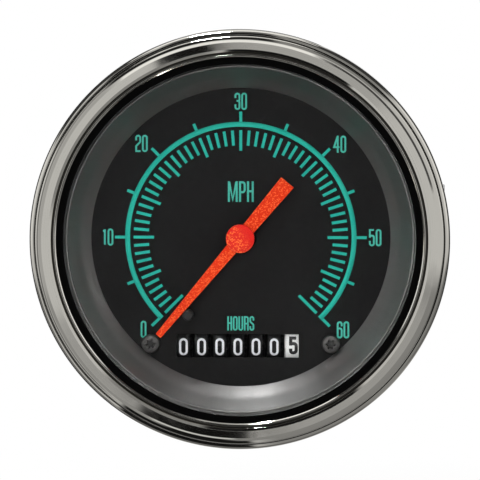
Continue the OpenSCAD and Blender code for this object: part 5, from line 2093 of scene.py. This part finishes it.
LAMPS = (
    Lamp("key", (-0.10, -0.45, 0.60), (0.50, 0.35), 0.8),
    Lamp("front", (-0.16, -1.21, 0.23), (0.08, 0.08), 4.9),
    Lamp("overhead", (-0.11, -0.066, 0.58), (0.20, 0.035), 2.9, mirrored=True),
    Lamp("right_side", (0.56, -0.11, 0.17), (0.03, 0.12), 1.0),
    Lamp("left_side", (-0.58, -0.11, 0.08), (0.03, 0.12), 1.0),
)


@dataclass
class Studio:
    """The camera, the lamps and the pale surroundings."""

    camera_at: Place = (0.043, -1.3, 0.098)
    aim: Place = (0.00015, -0.0056, 0.00014)
    frame_width: float = 107.05
    sensor: float = 36.0
    ambient: float = 0.38
    side_tone: float = 0.58
    opening: float = 2.6
    floor_z: float = -0.075
    floor_size: float = 6000.0

    def camera(self) -> None:
        """Places the camera."""
        data = bpy.data.cameras.new("camera")
        made = bpy.data.objects.new("camera", data)
        bpy.context.scene.collection.objects.link(made)
        made.location = self.camera_at
        look = Vector(self.aim) - Vector(self.camera_at)
        made.rotation_euler = look.to_track_quat("-Z", "Y").to_euler()
        data.sensor_width = self.sensor
        data.lens = self.sensor * look.length / (self.frame_width * MM)
        data.clip_start, data.clip_end = 0.1, 50.0
        bpy.context.scene.camera = made

    def floor(self) -> None:
        """Lays the pale floor, which keeps the gauge's shadow and is white further off."""
        size, level = self.floor_size, self.floor_z / MM
        corners = [(x * size, y * size, level) for x, y in ((-1, -1), (1, -1), (1, 1), (-1, 1))]
        made = new_object("floor", corners, [range(4)])
        material = bpy.data.materials.new("pale_floor")
        material.use_nodes = True
        material.node_tree.nodes.clear()
        w = Wiring(material.node_tree)
        where = w.add("ShaderNodeTexCoord").outputs["Object"]
        x, y, _ = w.parts(where)
        reach = w.reach(x, y)
        paper = w.noise(where, 400.0, 3.0)
        plain = w.put("ShaderNodeBsdfDiffuse", {
            "Color": w.blend(w.ramp(paper, 0.3, 0.7), (0.86, 0.86, 0.86), (0.90, 0.90, 0.90))})
        white = w.put("ShaderNodeEmission", {"Color": (1.0, 1.0, 1.0), "Strength": 1.0})
        path = w.add("ShaderNodeLightPath").outputs
        share = w.times(path["Is Camera Ray"], w.ramp(reach, 0.12, 0.24, 0.62, 1.0))
        lit = w.put("ShaderNodeMixShader", {0: share, 1: plain, 2: white})
        under = w.add("ShaderNodeNewGeometry").outputs["Backfacing"]
        clear = w.put("ShaderNodeBsdfTransparent")
        w.add("ShaderNodeOutputMaterial", {"Surface": w.put("ShaderNodeMixShader", {
            0: under, 1: lit, 2: clear})})
        made.data.materials.append(material)
        made.visible_glossy = made.visible_transmission = False

    def room(self, w: Wiring) -> Socket:
        """Wires the room that metal and glass mirror.

        Args:
            w: the world's wiring.

        Returns:
            The room's colour.
        """
        x, y, z = w.parts(w.add("ShaderNodeTexCoord").outputs["Generated"])
        lean_x, lean_z = (self.camera_at[i] / self.camera_at[1] for i in (0, 2))
        u = w.plus(x, w.times(y, lean_x))
        v = w.plus(z, w.times(y, lean_z))
        polar = w.maths("ARCTAN2", w.reach(u, v), w.times(y, -1.0))
        around = w.maths("ARCTAN2", v, u)
        rad = math.radians
        tone = w.ramp(polar, rad(130), rad(160), self.side_tone, 0.8)
        for panel in PANELS:
            turn = w.maths("COSINE", w.minus(around, rad(panel.azimuth)))
            side = w.ramp(turn, math.cos(rad(min(180.0, panel.half + panel.edge / 2))),
                          math.cos(rad(panel.half - panel.edge / 2)))
            start = w.ramp(polar, rad(panel.near - panel.soft / 2), rad(panel.near + panel.soft / 2))
            end = w.ramp(polar, rad(panel.far - panel.soft / 2), rad(panel.far + panel.soft / 2), 1.0, 0.0)
            mask = w.times(side, w.times(start, end))
            tone = w.put("ShaderNodeMix", {0: mask, 2: tone, 3: panel.tone}, data_type="FLOAT")
        opening = w.ramp(polar, rad(self.opening - 0.04), rad(self.opening + 0.04))
        tone = w.plus(w.times(tone, opening), 0.003)
        return w.blend(tone, (0.0, 0.0, 0.0), (1.0, 1.0, 0.995))

    def world(self) -> None:
        """Fills the room: white to the camera, panels to metal and plain light to the rest."""
        scene = bpy.context.scene
        scene.world = bpy.data.worlds.new("room")
        scene.world.use_nodes = True
        scene.world.node_tree.nodes.clear()
        w = Wiring(scene.world.node_tree)
        path = w.add("ShaderNodeLightPath").outputs
        mirrored = w.maths("MAXIMUM", path["Is Glossy Ray"], path["Is Transmission Ray"])
        seen = w.blend(mirrored, (self.ambient, self.ambient, self.ambient), self.room(w))
        seen = w.blend(path["Is Camera Ray"], seen, (1.0, 1.0, 1.0))
        w.add("ShaderNodeOutputWorld", {
            "Surface": w.put("ShaderNodeBackground", {"Color": seen, "Strength": 1.0})})

    def build(self) -> None:
        """Builds the studio."""
        self.camera()
        for lamp in LAMPS:
            lamp.hang()
        self.floor()
        self.world()
        bpy.context.scene.view_settings.view_transform = "Standard"


def main() -> None:
    """Builds the gauge over its frame, sub-assembly by sub-assembly."""
    logging.basicConfig(level=logging.INFO, format="%(name)s: %(message)s")
    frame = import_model()
    Studio().build()
    nodes = frame["nodes"]
    for kind in (Housing, Dial, PointerUnit, HourCounter, Movement, Chassis, RearFittings, ClampBracket):
        LOG.info("building the %s", kind.__name__)
        kind(nodes).build()


if __name__ == "__main__":
    main()
